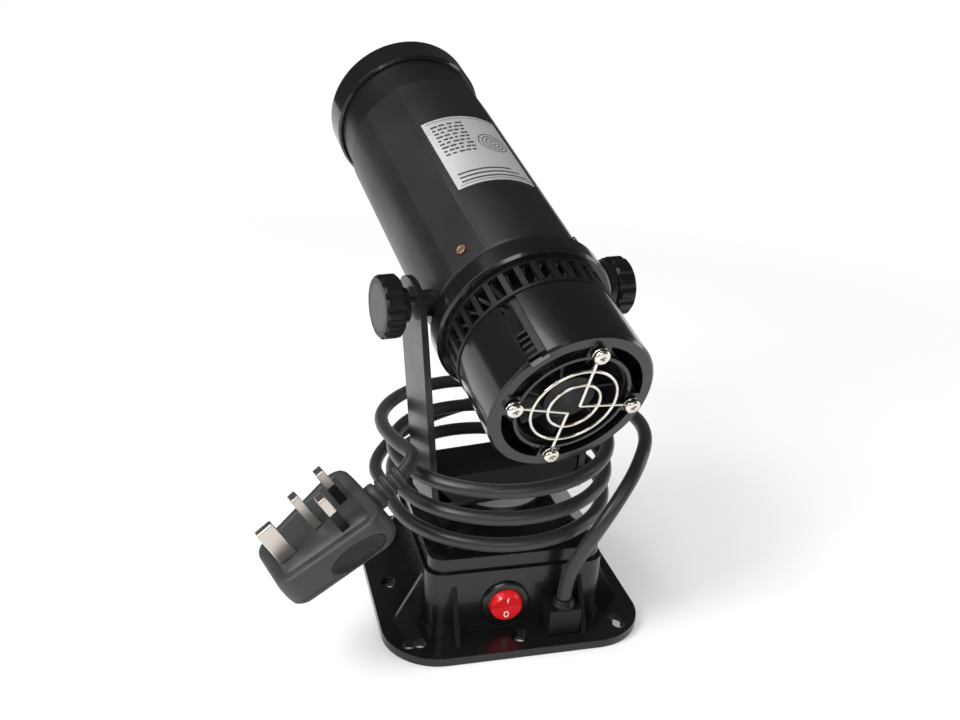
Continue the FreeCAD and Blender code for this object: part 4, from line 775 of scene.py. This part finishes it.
def make_seam_screws():
    """Bronze rims round the screws on the two flats behind the label."""
    seat = bpy.context.scene.projector_head.barrel_radius - SEAM_DEPTH + SEAM_LIFT
    rim = mesh_from("seam_screw", lambda shape: lathe(shape, SEAM_PROFILE, SEAM_STEPS))
    for side, word in ((-1, "left"), (1, "right")):
        angle = SEAM_ANGLE * side
        outward = SIDE * math.sin(angle) + TOP * math.cos(SEAM_ANGLE)
        frame = frame_of(outward.cross(FORWARD) * -1, FORWARD, on_barrel(seat, angle, SEAM_ALONG))
        mesh = rim.copy()
        mesh.transform(frame)
        add_object(f"seam_screw_{word}", mesh, "bronze", "head")


# Rear: guard screws and the ledge and ribs in the cup's slot

GUARD_SCREWS = 4


def make_guard_screws():
    """Screws with a cross recess at the guard's corners."""
    sizes = bpy.context.scene.projector_rear
    mesh = cross_screw_mesh("guard_screw", sizes.head_radius, sizes.head_rise, sizes.shank_radius,
                            sizes.shank_length)
    frame = REAR @ Matrix.Translation((0, 0, sizes.screw_seat))
    screws = copies_round("cross_screws", mesh, GUARD_SCREWS, sizes.screw_radius,
                          math.pi / 2 - sizes.screw_angle, frame, "nickel", "head")
    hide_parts("guard_screws")


SLOT_STEPS = 3
LEDGE_DEPTHS = (0.0022, 0.0012)
LEDGE_ANGLES = (math.radians(1.5), math.radians(6.3))
LEDGE_ENDS = (-0.0665, -0.0352)
RIB_COUNT = 5
RIB_DEPTHS = (0.0040, 0.0018)
RIB_ANGLES = (math.radians(-6.2), math.radians(2.0))
RIB_START = -0.066
RIB_PITCH = 0.0032
RIB_THICK = 0.0011


def make_slot_parts():
    """The strip on the slot's right side and the small ribs inside it near the rear end."""
    sizes = bpy.context.scene.projector_rear
    radius = sizes.cup_radius
    slot = -sizes.slot_angle

    def patch(shape, depths, angles, ends):
        arc_patch(shape, *(radius - depth for depth in depths), *(slot + angle for angle in angles), *ends,
                  SLOT_STEPS)

    def build(shape):
        patch(shape, LEDGE_DEPTHS, LEDGE_ANGLES, LEDGE_ENDS)
        for rib in range(RIB_COUNT):
            along = RIB_START + RIB_PITCH * rib
            patch(shape, RIB_DEPTHS, RIB_ANGLES, (along, along + RIB_THICK))

    add_object("slot_ledge", mesh_from("slot_ledge", build), "ribs", "head", False)


# Base: rocker markings, gland collar and the pip on the front

MARK_REACH = 0.05
MARK_THICK = 0.00012
MARK_STEPS = 32
MARK_NARROW = 0.75
COLLAR_STEPS = 36
COLLAR_PROFILE = ((0, 0), (0.0022, 0), (0.0020, 0.0016), (0.0012, 0.0020), (0.0014, 0.0034), (0.0006, 0.0040),
                  (0, 0.0040), (0, 0))
PIP_STEPS = 24
PIP_PROFILE = ((0, -0.25), (1, -0.25), (1, 0.2), (0.8, 0.45), (0.45, 0.6), (0, 0.65))


def surface_of(thing):
    """The surface of a piece, for lines to meet."""
    mesh = thing.data
    return BVHTree.FromPolygons([thing.matrix_world @ point.co for point in mesh.vertices],
                                [face.vertices[:] for face in mesh.polygons])


def point_on(surface, outside, inward, lift):
    """The point that a line from outside meets on a surface, lifted back along the line."""
    found = surface.ray_cast(outside, inward)[0]
    if found is None:
        raise RuntimeError("a line misses the surface")
    return found - inward * lift


def make_rocker_marks():
    """The bar and the ring of a rocker switch, each on its own slope."""
    surface = surface_of(NODES["switch_rocker"])
    inward = FRONT_WALL.to_3x3() @ Vector((0, 0, -1))
    sizes = bpy.context.scene.projector_base

    def strip(shape, pairs, closed):
        rings = []
        for inner, outer in pairs:
            ring = []
            for place, lift in ((inner, -MARK_THICK), (outer, -MARK_THICK),
                                (outer, MARK_THICK), (inner, MARK_THICK)):
                outside = FRONT_WALL @ Vector((*place, MARK_REACH))
                ring.append(shape.verts.new(point_on(surface, outside, inward, lift)))
            rings.append(ring)
        if closed:
            join_rings(shape, [*rings, rings[0]])
            return
        join_rings(shape, rings)
        close_ends(shape, rings)

    def build(shape):
        half = sizes.mark_width / 2
        bar_end = sizes.mark_bar / 2
        strip(shape, [((-half, sizes.mark_place + up), (half, sizes.mark_place + up))
                      for up in (-bar_end, bar_end)], False)
        pairs = []
        for step in range(MARK_STEPS):
            turned = math.tau * step / MARK_STEPS
            pairs.append([(math.cos(turned) * reach * MARK_NARROW,
                           -sizes.mark_place + math.sin(turned) * reach)
                          for reach in (sizes.mark_ring - sizes.mark_width, sizes.mark_ring)])
        strip(shape, pairs, True)

    add_object("rocker_marks", mesh_from("rocker_marks", build), "white", "rocker", False)


def make_gland_collar():
    """A stepped collar round the cord where it leaves the gland."""
    cord = bpy.context.scene.projector_cord.diameter / 2
    frame = Matrix.Translation(Vector(CORD_RISE[0]))
    profile = [(cord + out, height) for out, height in COLLAR_PROFILE]
    mesh = mesh_from("gland_collar", lambda shape: lathe(shape, profile, COLLAR_STEPS, frame))
    add_object("gland_collar", mesh, "satin", "base")


def make_front_pip():
    """A small rounded pip on the front wall."""
    sizes = bpy.context.scene.projector_base
    place = (sizes.pip_side - ROCKER_CENTRE.x, sizes.pip_height - ROCKER_CENTRE.z, 0)
    frame = FRONT_WALL @ Matrix.Translation(place)
    profile = [(sizes.pip_radius * out, sizes.pip_radius * rise) for out, rise in PIP_PROFILE]
    mesh = mesh_from("front_pip", lambda shape: lathe(shape, profile, PIP_STEPS, frame))
    add_object("front_pip", mesh, "moulded", "base")


class BaseSizes(bpy.types.PropertyGroup):
    pip_side: FloatProperty(
        name="Pip side", description="Place of the pip across the front", default=0.0140, unit="LENGTH")
    pip_height: FloatProperty(
        name="Pip height", description="Height of the pip on the front", default=0.0275, unit="LENGTH")
    pip_radius: FloatProperty(
        name="Pip radius", description="Radius of the pip", default=0.0011, unit="LENGTH")
    mark_place: FloatProperty(
        name="Mark place", description="Distance of a mark from the rocker's middle", default=0.0042,
        unit="LENGTH")
    mark_width: FloatProperty(
        name="Mark width", description="Width of a mark's stroke", default=0.0006, unit="LENGTH")
    mark_bar: FloatProperty(
        name="Bar length", description="Length of the bar mark", default=0.0028, unit="LENGTH")
    mark_ring: FloatProperty(
        name="Ring radius", description="Outer radius of the ring mark", default=0.0017, unit="LENGTH")


# Plug: moulded body with a bordered face and finger recesses, and the beaded strain relief

class PlugSizes(bpy.types.PropertyGroup):
    long: FloatProperty(name="Length", description="Length of the body", default=0.051, unit="LENGTH")
    wide: FloatProperty(name="Width", description="Width at the cord's end", default=0.056, unit="LENGTH")
    narrow: FloatProperty(name="Far width", description="Width at the far end", default=0.036, unit="LENGTH")
    thick: FloatProperty(name="Thickness", description="Thickness of the body", default=0.016, unit="LENGTH")
    corner: FloatProperty(name="Corner", description="Radius of the corners", default=0.008, unit="LENGTH")
    seam: FloatProperty(
        name="Seam", description="Depth of the seam below the face", default=0.012, unit="LENGTH")
    bulge: FloatProperty(name="Bulge", description="How far the sides swell", default=0.0008, unit="LENGTH")
    recess: FloatProperty(
        name="Recess", description="Depth of the finger recess", default=0.0018, unit="LENGTH")
    recess_long: FloatProperty(
        name="Recess length", description="Half length of the finger recess", default=0.0135, unit="LENGTH")
    recess_high: FloatProperty(
        name="Recess height", description="Half height of the finger recess", default=0.0056, unit="LENGTH")
    recess_along: FloatProperty(
        name="Recess place", description="Middle of the recess along the plug", default=0.007, unit="LENGTH")
    pad_lift: FloatProperty(
        name="Pad lift", description="How far a finger pad stands off the plug", default=0.00012,
        unit="LENGTH")
    pad_thick: FloatProperty(
        name="Pad thickness", description="Thickness of a finger pad", default=0.0005, unit="LENGTH")
    prong_edge: FloatProperty(
        name="Prong edge", description="Rounding of the prongs' edges", default=0.0007, unit="LENGTH")
    relief: FloatProperty(
        name="Relief", description="Length of the strain relief in the frame", default=0.012, unit="LENGTH")
    relief_drop: FloatProperty(
        name="Relief drop", description="Depth of the relief's axis below the face", default=0.009,
        unit="LENGTH")
    relief_radius: FloatProperty(
        name="Relief radius", description="Radius of the relief at the plug", default=0.0063, unit="LENGTH")
    tip_radius: FloatProperty(
        name="Tip radius", description="Radius of the relief's last bead", default=0.0048, unit="LENGTH")


PLUG_OUT = Vector((-0.557, -0.049, 0.829))
CORNER_LEAST = 0.001
RECESS_SHARE = 0.56
RECESS_CLEAR = 0.3
RECESS_SLOPE = 3.5
PAD_SHARES = (0.12, 0.3, 0.5, 0.7, 0.85, 0.95)
PAD_STEPS = 48
WELD_GAP = 0.00001
PRONG_SEGMENTS = 3

# Inset and height of the face's border, and inset and rise of the rear edge
FACE_PROFILE = ((0.0130, 0), (0.0056, 0), (0.0053, -0.0004), (0.0047, -0.0004), (0.0044, 0), (0.0012, 0),
                (0.0004, -0.0004), (0, -0.0012))
REAR_PROFILE = ((0.0006, 0.0014), (0.0018, 0.0005), (0.0036, 0), (0.0130, 0))
WALL_STEPS = 26
WALL_TOP = 0.0016
WALL_BOTTOM = 0.0026
SEAM_GROOVE = 0.0005
SEAM_REACH = 0.0003

# Heights above the strain relief's root, radii, and shares of a radius or of a bead's length
RELIEF_STEPS = 40
RELIEF_ROOT = 0.0002
RELIEF_RIM = 0.0036
RELIEF_START = 0.0044
RELIEF_SHOULDER = 0.92
RELIEF_BEADS = 4
RELIEF_END = 0.0034
BEAD_LONG = 0.0031
BEAD_NARROWER = 0.96
BEAD_GROOVE = 0.0013
BEAD_LEAST = 0.0036
BEAD_GAP = (0.0004, 0.0009)
BEAD_RISE = 0.0013
BEAD_EDGE = 0.94
BEAD_FLAT = (0.6, 0.8)


def plug_frames():
    """The plug's frame at the middle of its face, and the relief's frame at its root."""
    sizes = bpy.context.scene.projector_plug
    end = Vector(CORD_TAIL[-1])
    way = (Vector(CORD_TAIL[-2]) - end).normalized()
    across = PLUG_OUT.cross(way).normalized()
    out = way.cross(across)
    centre = end - way * (sizes.relief + sizes.long / 2) + out * sizes.relief_drop
    plug = Matrix.Translation(centre) @ Matrix((way, across, out)).transposed().to_4x4()
    root = end - way * sizes.relief
    relief = Matrix.Translation(root) @ Matrix((across, out, way)).transposed().to_4x4()
    return plug, relief


def plug_outline(inset, corner_steps=8, side_steps=26):
    """Points round the plug's rounded trapezoid, moved inwards by the inset."""
    sizes = bpy.context.scene.projector_plug
    half = sizes.long / 2
    corners = [Vector((half, -sizes.wide / 2, 0)), Vector((half, sizes.wide / 2, 0)),
               Vector((-half, sizes.narrow / 2, 0)), Vector((-half, -sizes.narrow / 2, 0))]
    radius = max(sizes.corner - inset, CORNER_LEAST)
    points = []
    arcs = []
    for index, corner in enumerate(corners):
        before = (corners[index - 1] - corner).normalized()
        after = (corners[(index + 1) % 4] - corner).normalized()
        half_angle = before.angle(after) / 2
        middle = corner + (before + after).normalized() * ((radius + inset) / math.sin(half_angle))
        first = math.atan2(*reversed(normal_of(before, middle, corner)[:2]))
        last = math.atan2(*reversed(normal_of(after, middle, corner)[:2]))
        while last < first:
            last += math.tau
        arcs.append([middle + Vector((math.cos(first + (last - first) * step / corner_steps),
                                      math.sin(first + (last - first) * step / corner_steps), 0)) * radius
                     for step in range(corner_steps + 1)])
    for index, arc in enumerate(arcs):
        points.extend(arc)
        target = arcs[(index + 1) % 4][0]
        for step in range(1, side_steps):
            points.append(arc[-1].lerp(target, step / side_steps))
    return points


def normal_of(edge, middle, corner):
    """The direction outwards from an arc's centre, at right angles to an edge of the outline."""
    to_corner = corner - middle
    return (to_corner - edge * to_corner.dot(edge)).normalized()


def recess_depth(point, height):
    """How far a point of the plug's side is pressed in by the finger recess."""
    sizes = bpy.context.scene.projector_plug
    along = (point.x - sizes.recess_along) / sizes.recess_long
    high = (height + sizes.thick * RECESS_SHARE) / sizes.recess_high
    distance = math.sqrt(along * along + high * high)
    if abs(point.y) < sizes.narrow * RECESS_CLEAR or distance > 1:
        return 0
    return sizes.recess * min(1, (1 - distance) * RECESS_SLOPE)


def make_finger_pads(body, plug):
    """A dark rubber pad laid in each finger recess."""
    sizes = bpy.context.scene.projector_plug
    surface = surface_of(body)
    height = -sizes.thick * RECESS_SHARE

    def build(shape):
        for side in (-1, 1):
            inward = plug.to_3x3() @ Vector((0, -side, 0))
            rings = []
            levels = [(share, -sizes.pad_thick) for share in PAD_SHARES]
            levels += [(share, sizes.pad_lift) for share in reversed(PAD_SHARES)]
            for share, lift in levels:
                ring = []
                for step in range(PAD_STEPS):
                    turned = math.tau * step / PAD_STEPS
                    along = sizes.recess_along + sizes.recess_long * share * math.cos(turned)
                    up = height + sizes.recess_high * share * math.sin(turned)
                    outside = plug @ Vector((along, side * sizes.wide, up))
                    ring.append(shape.verts.new(point_on(surface, outside, inward, lift)))
                rings.append(ring)
            join_rings(shape, rings)
            close_ends(shape, rings)

    return add_object("finger_pads", mesh_from("finger_pads", build), "satin", "base")


def soften_prongs():
    """Rounded edges on the prongs, whose corners are joined first."""
    modifiers = NODES["plug_pins"].modifiers
    modifiers.new("joined", "WELD").merge_threshold = WELD_GAP
    rounding = modifiers.new("prong_edges", "BEVEL")
    rounding.width = bpy.context.scene.projector_plug.prong_edge
    rounding.segments = PRONG_SEGMENTS
    rounding.limit_method = "ANGLE"


def plug_profile():
    """Inset and height of each ring of the plug, from the middle of its face to the middle of its rear."""
    sizes = bpy.context.scene.projector_plug
    thick = sizes.thick
    profile = list(FACE_PROFILE)
    bottom = thick - WALL_BOTTOM
    for step in range(WALL_STEPS + 1):
        height = -(WALL_TOP + (bottom - WALL_TOP) * step / WALL_STEPS)
        swell = sizes.bulge * math.sin(math.pi * -height / thick)
        groove = SEAM_GROOVE if abs(-height - sizes.seam) < SEAM_REACH else 0
        profile.append((groove - swell, height))
    return profile + [(inset, -thick + rise) for inset, rise in REAR_PROFILE]


def relief_outline():
    """Radius and height of the strain relief: a plain root, then beads that get smaller."""
    sizes = bpy.context.scene.projector_plug
    root = sizes.relief_radius
    outline = [(0, RELIEF_ROOT), (root, RELIEF_ROOT), (root, RELIEF_RIM),
               (root * RELIEF_SHOULDER, RELIEF_START)]
    start = RELIEF_START
    for index in range(RELIEF_BEADS):
        share = (index + 1) / RELIEF_BEADS
        radius = root * (1 - share) * BEAD_NARROWER + sizes.tip_radius * share
        groove = max(radius - BEAD_GROOVE, BEAD_LEAST)
        outline += [(groove, start + gap) for gap in BEAD_GAP]
        outline.append((radius * BEAD_EDGE, start + BEAD_RISE))
        outline += [(radius, start + BEAD_LONG * flat) for flat in BEAD_FLAT]
        outline.append((radius * BEAD_EDGE, start + BEAD_LONG))
        start += BEAD_LONG
    return outline + [(RELIEF_END, start + BEAD_GAP[0]), (0, start + BEAD_GAP[0])]


def make_plug():
    """The moulded plug, its finger pads and its strain relief, which this returns."""
    plug, relief = plug_frames()
    profile = plug_profile()

    def build(shape):
        rings = []
        for inset, height in profile:
            ring = []
            for point in plug_outline(inset):
                inward = recess_depth(point, height)
                place = Vector((point.x, point.y - math.copysign(inward, point.y), height))
                ring.append(shape.verts.new(plug @ place))
            rings.append(ring)
        join_rings(shape, rings)
        close_ends(shape, rings)

    body = add_object("moulded_plug", mesh_from("moulded_plug", build), "plug", "base")
    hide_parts("plug_body", "plug_cover")
    pads = make_finger_pads(body, plug)
    soften_prongs()

    outline = relief_outline()
    beads = mesh_from("beaded_relief", lambda shape: lathe(shape, outline, RELIEF_STEPS, relief))
    relief_piece = add_object("beaded_relief", beads, "plug", "base")
    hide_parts("plug_strain_relief")
    return [body, pads, relief_piece]


# Stage

CLIP_START = 0.01
LAMP_AIM = (0, 0, 0.12)
# Name, place, width, height and power of each lamp
LAMPS = (
    ("key", (-0.95, -0.30, 0.85), 0.50, 0.80, 14.0),
    ("front", (-0.15, -1.10, 0.75), 0.70, 0.30, 4.0),
    ("high", (-0.45, 0.15, 1.25), 0.30, 0.80, 4.0),
    ("right", (1.10, -0.10, 0.35), 0.25, 0.70, 2.0),
)
WORLD_LEVEL = 0.75
WORLD_GLOSS = 0.09
FLOOR_COLOUR = (0.86, 0.86, 0.87, 1)
FLOOR_ROUGHNESS = 0.6
FLOOR_DROP = 0.0001


def make_stage():
    """The camera at the photograph's angle, with the world, the floor and the lamps."""
    sizes = bpy.context.scene.projector_stage
    azimuth = sizes.camera_azimuth
    elevation = sizes.camera_elevation
    back = Vector((math.sin(azimuth) * math.cos(elevation), -math.cos(azimuth) * math.cos(elevation),
                   math.sin(elevation)))
    data = bpy.data.cameras.new("camera")
    camera = bpy.data.objects.new("camera", data)
    bpy.context.scene.collection.objects.link(camera)
    camera.location = Vector(sizes.camera_target) + back * sizes.camera_distance
    forward = -back
    right = forward.cross(Vector((0, 0, 1))).normalized()
    up = right.cross(forward)
    roll = sizes.camera_roll
    rolled_right = right * math.cos(roll) + up * math.sin(roll)
    rolled_up = up * math.cos(roll) - right * math.sin(roll)
    camera.rotation_mode = "QUATERNION"
    camera.rotation_quaternion = Matrix((rolled_right, rolled_up, back)).transposed().to_quaternion()
    data.lens = data.sensor_width * sizes.focal_share
    data.clip_start = CLIP_START
    bpy.context.scene.camera = camera

    bpy.context.scene.view_settings.view_transform = "Standard"
    make_world()
    make_floor(sizes)
    for values in LAMPS:
        lamp(*values)


def make_world():
    """White to the camera and through glass, a little lower as light, and dim in reflections."""
    world = bpy.data.worlds.new("studio")
    bpy.context.scene.world = world
    world.use_nodes = True
    tree = world.node_tree
    background = tree.nodes["Background"]
    paths = tree.nodes.new("ShaderNodeLightPath")
    seen = math_node(tree, "MAXIMUM", paths.outputs["Is Camera Ray"], paths.outputs["Is Transmission Ray"])
    level = ranged(tree, seen, WORLD_LEVEL, 1, 0, 1)
    dim = ranged(tree, paths.outputs["Is Glossy Ray"], 1, WORLD_GLOSS, 0, 1)
    strength = math_node(tree, "MULTIPLY", level, dim)
    background.inputs["Color"].default_value = (1, 1, 1, 1)
    link(tree, strength, background.inputs["Strength"])


def make_floor(sizes):
    """A pale floor that fades to white away from the object."""
    reach = sizes.floor_radius

    def build(shape):
        shape.faces.new([shape.verts.new((x * reach, y * reach, 0))
                         for x, y in ((-1, -1), (1, -1), (1, 1), (-1, 1))])

    mesh = mesh_from("floor", build)
    floor = bpy.data.objects.new("floor", mesh)
    bpy.context.scene.collection.objects.link(floor)
    floor.location.z = -FLOOR_DROP
    material, tree, shader = new_material("floor_paper")
    shader.inputs["Base Color"].default_value = FLOOR_COLOUR
    shader.inputs["Roughness"].default_value = FLOOR_ROUGHNESS
    glow = tree.nodes.new("ShaderNodeEmission")
    coordinates = tree.nodes.new("ShaderNodeTexCoord")
    distance = tree.nodes.new("ShaderNodeVectorMath")
    distance.operation = "LENGTH"
    link(tree, coordinates.outputs["Object"], distance.inputs[0])
    fade = ranged(tree, distance.outputs["Value"], 0, 1, sizes.fade_start, sizes.fade_end)
    mix = tree.nodes.new("ShaderNodeMixShader")
    link(tree, fade, mix.inputs["Fac"])
    link(tree, shader.outputs["BSDF"], mix.inputs[1])
    link(tree, glow.outputs["Emission"], mix.inputs[2])
    link(tree, mix.outputs["Shader"], tree.nodes["Material Output"].inputs["Surface"])
    mesh.materials.append(material)


def lamp(name, place, wide, high, power):
    """A soft rectangular lamp that looks at the object's middle."""
    data = bpy.data.lights.new(name, "AREA")
    data.shape = "RECTANGLE"
    data.size = wide
    data.size_y = high
    data.energy = power
    thing = bpy.data.objects.new(name, data)
    bpy.context.scene.collection.objects.link(thing)
    thing.location = place
    aim = Vector(LAMP_AIM) - Vector(place)
    thing.rotation_mode = "QUATERNION"
    thing.rotation_quaternion = aim.to_track_quat("-Z", "Y")


# Cord: up from the gland, round the yoke's foot and out to the plug

CORD_RISE = (
    (0.0205, -0.0495, 0.017),
    (0.0205, -0.0495, 0.0320),
    (0.0270, -0.0545, 0.051),
    (0.0370, -0.0560, 0.070),
    (0.0520, -0.0460, 0.085),
    (0.0660, -0.0220, 0.091),
    (0.0660, 0.0140, 0.087),
    (0.0490, 0.0480, 0.080),
    (0.0080, 0.0660, 0.070),
    (-0.0340, 0.0600, 0.060),
    (-0.0570, 0.0360, 0.052),
    (-0.0520, 0.0140, 0.0494),
)
CORD_TAIL = (
    (-0.0140, 0.0520, 0.0877),
    (-0.0340, 0.0450, 0.0880),
    (-0.0500, 0.0300, 0.0875),
    (-0.0570, 0.0110, 0.0875),
    (-0.0535, -0.0140, 0.0890),
    (-0.0456, -0.0334, 0.0906),
    (-0.0584, -0.0372, 0.0818),
)
CORD_STEPS = 6
CORD_ORDER = 3


def wrap_points(sizes):
    """Points of the turns round the yoke's foot."""
    count = int(sizes.wrap_turns * sizes.points_per_turn)
    points = []
    for index in range(count + 1):
        turns = index / sizes.points_per_turn
        angle = math.pi + 2 * math.pi * turns
        points.append((sizes.wrap_radius * math.cos(angle), sizes.wrap_radius * math.sin(angle),
                       sizes.wrap_low + sizes.wrap_pitch * turns))
    return points


def make_cord():
    """The supply cord as one curve, with the plug at its far end."""
    sizes = bpy.context.scene.projector_cord
    points = [*CORD_RISE, *wrap_points(sizes), *CORD_TAIL]
    curve = bpy.data.curves.new("cord", "CURVE")
    curve.dimensions = "3D"
    curve.bevel_depth = sizes.diameter / 2
    curve.bevel_resolution = CORD_STEPS
    curve.resolution_u = CORD_STEPS
    spline = curve.splines.new("NURBS")
    spline.points.add(len(points) - 1)
    for point, place in zip(spline.points, points):
        point.co = (*place, 1)
    spline.order_u = CORD_ORDER
    spline.use_endpoint_u = True
    cord = add_object("supply_cord", curve, "cord", "base")
    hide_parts("cord_rise", "cord_wraps", "cord_tail")
    make_plug()


class PROJECTOR_OT_stage(bpy.types.Operator):
    """Makes the camera, the floor, the lamps and the world."""
    bl_idname = "projector.stage"
    bl_label = "Stage"

    def execute(self, context):
        make_stage()
        return {"FINISHED"}


class PROJECTOR_OT_finishes(bpy.types.Operator):
    """Makes the finishes and gives one to every solid of the frame."""
    bl_idname = "projector.finishes"
    bl_label = "Finishes"

    def execute(self, context):
        make_finishes()
        dress_nodes()
        return {"FINISHED"}


class PROJECTOR_OT_head(bpy.types.Operator):
    """Adds the pressed lines, the seam screws and the label's print."""
    bl_idname = "projector.head"
    bl_label = "Head details"

    def execute(self, context):
        make_head_lines()
        make_label_print()
        make_seam_screws()
        return {"FINISHED"}


class PROJECTOR_OT_rear(bpy.types.Operator):
    """Adds the guard's screws and the parts in the cup's slot."""
    bl_idname = "projector.rear"
    bl_label = "Rear details"

    def execute(self, context):
        make_guard_screws()
        make_slot_parts()
        return {"FINISHED"}


class PROJECTOR_OT_base(bpy.types.Operator):
    """Adds the rocker's marks, the gland's collar and the pip on the front."""
    bl_idname = "projector.base"
    bl_label = "Base details"

    def execute(self, context):
        make_rocker_marks()
        make_gland_collar()
        make_front_pip()
        return {"FINISHED"}


class PROJECTOR_OT_cord(bpy.types.Operator):
    """Lays the supply cord from the gland to the plug, and makes the plug."""
    bl_idname = "projector.cord"
    bl_label = "Supply cord"

    def execute(self, context):
        make_cord()
        return {"FINISHED"}


OPERATORS = (
    PROJECTOR_OT_stage,
    PROJECTOR_OT_finishes,
    PROJECTOR_OT_cord,
    PROJECTOR_OT_head,
    PROJECTOR_OT_rear,
    PROJECTOR_OT_base,
)


class PROJECTOR_PT_panel(bpy.types.Panel):
    bl_idname = "PROJECTOR_PT_panel"
    bl_label = "Projector"
    bl_space_type = "VIEW_3D"
    bl_region_type = "UI"
    bl_category = "Projector"

    def draw(self, context):
        for operator in OPERATORS:
            self.layout.operator(operator.bl_idname)


SETTINGS = {
    "projector_stage": StageSizes,
    "projector_cord": CordSizes,
    "projector_finish": FinishColours,
    "projector_head": HeadSizes,
    "projector_rear": RearSizes,
    "projector_base": BaseSizes,
    "projector_plug": PlugSizes,
}
CLASSES = (*SETTINGS.values(), *OPERATORS, PROJECTOR_PT_panel)


def register():
    for entry in CLASSES:
        bpy.utils.register_class(entry)
    for name, kind in SETTINGS.items():
        setattr(bpy.types.Scene, name, PointerProperty(type=kind))


def unregister():
    for name in reversed(SETTINGS):
        delattr(bpy.types.Scene, name)
    for entry in reversed(CLASSES):
        bpy.utils.unregister_class(entry)


def main():
    """Makes every piece in order."""
    register()
    for operator in OPERATORS:
        group, name = operator.bl_idname.split(".")
        getattr(getattr(bpy.ops, group), name)()


if __name__ == "__main__":
    main()
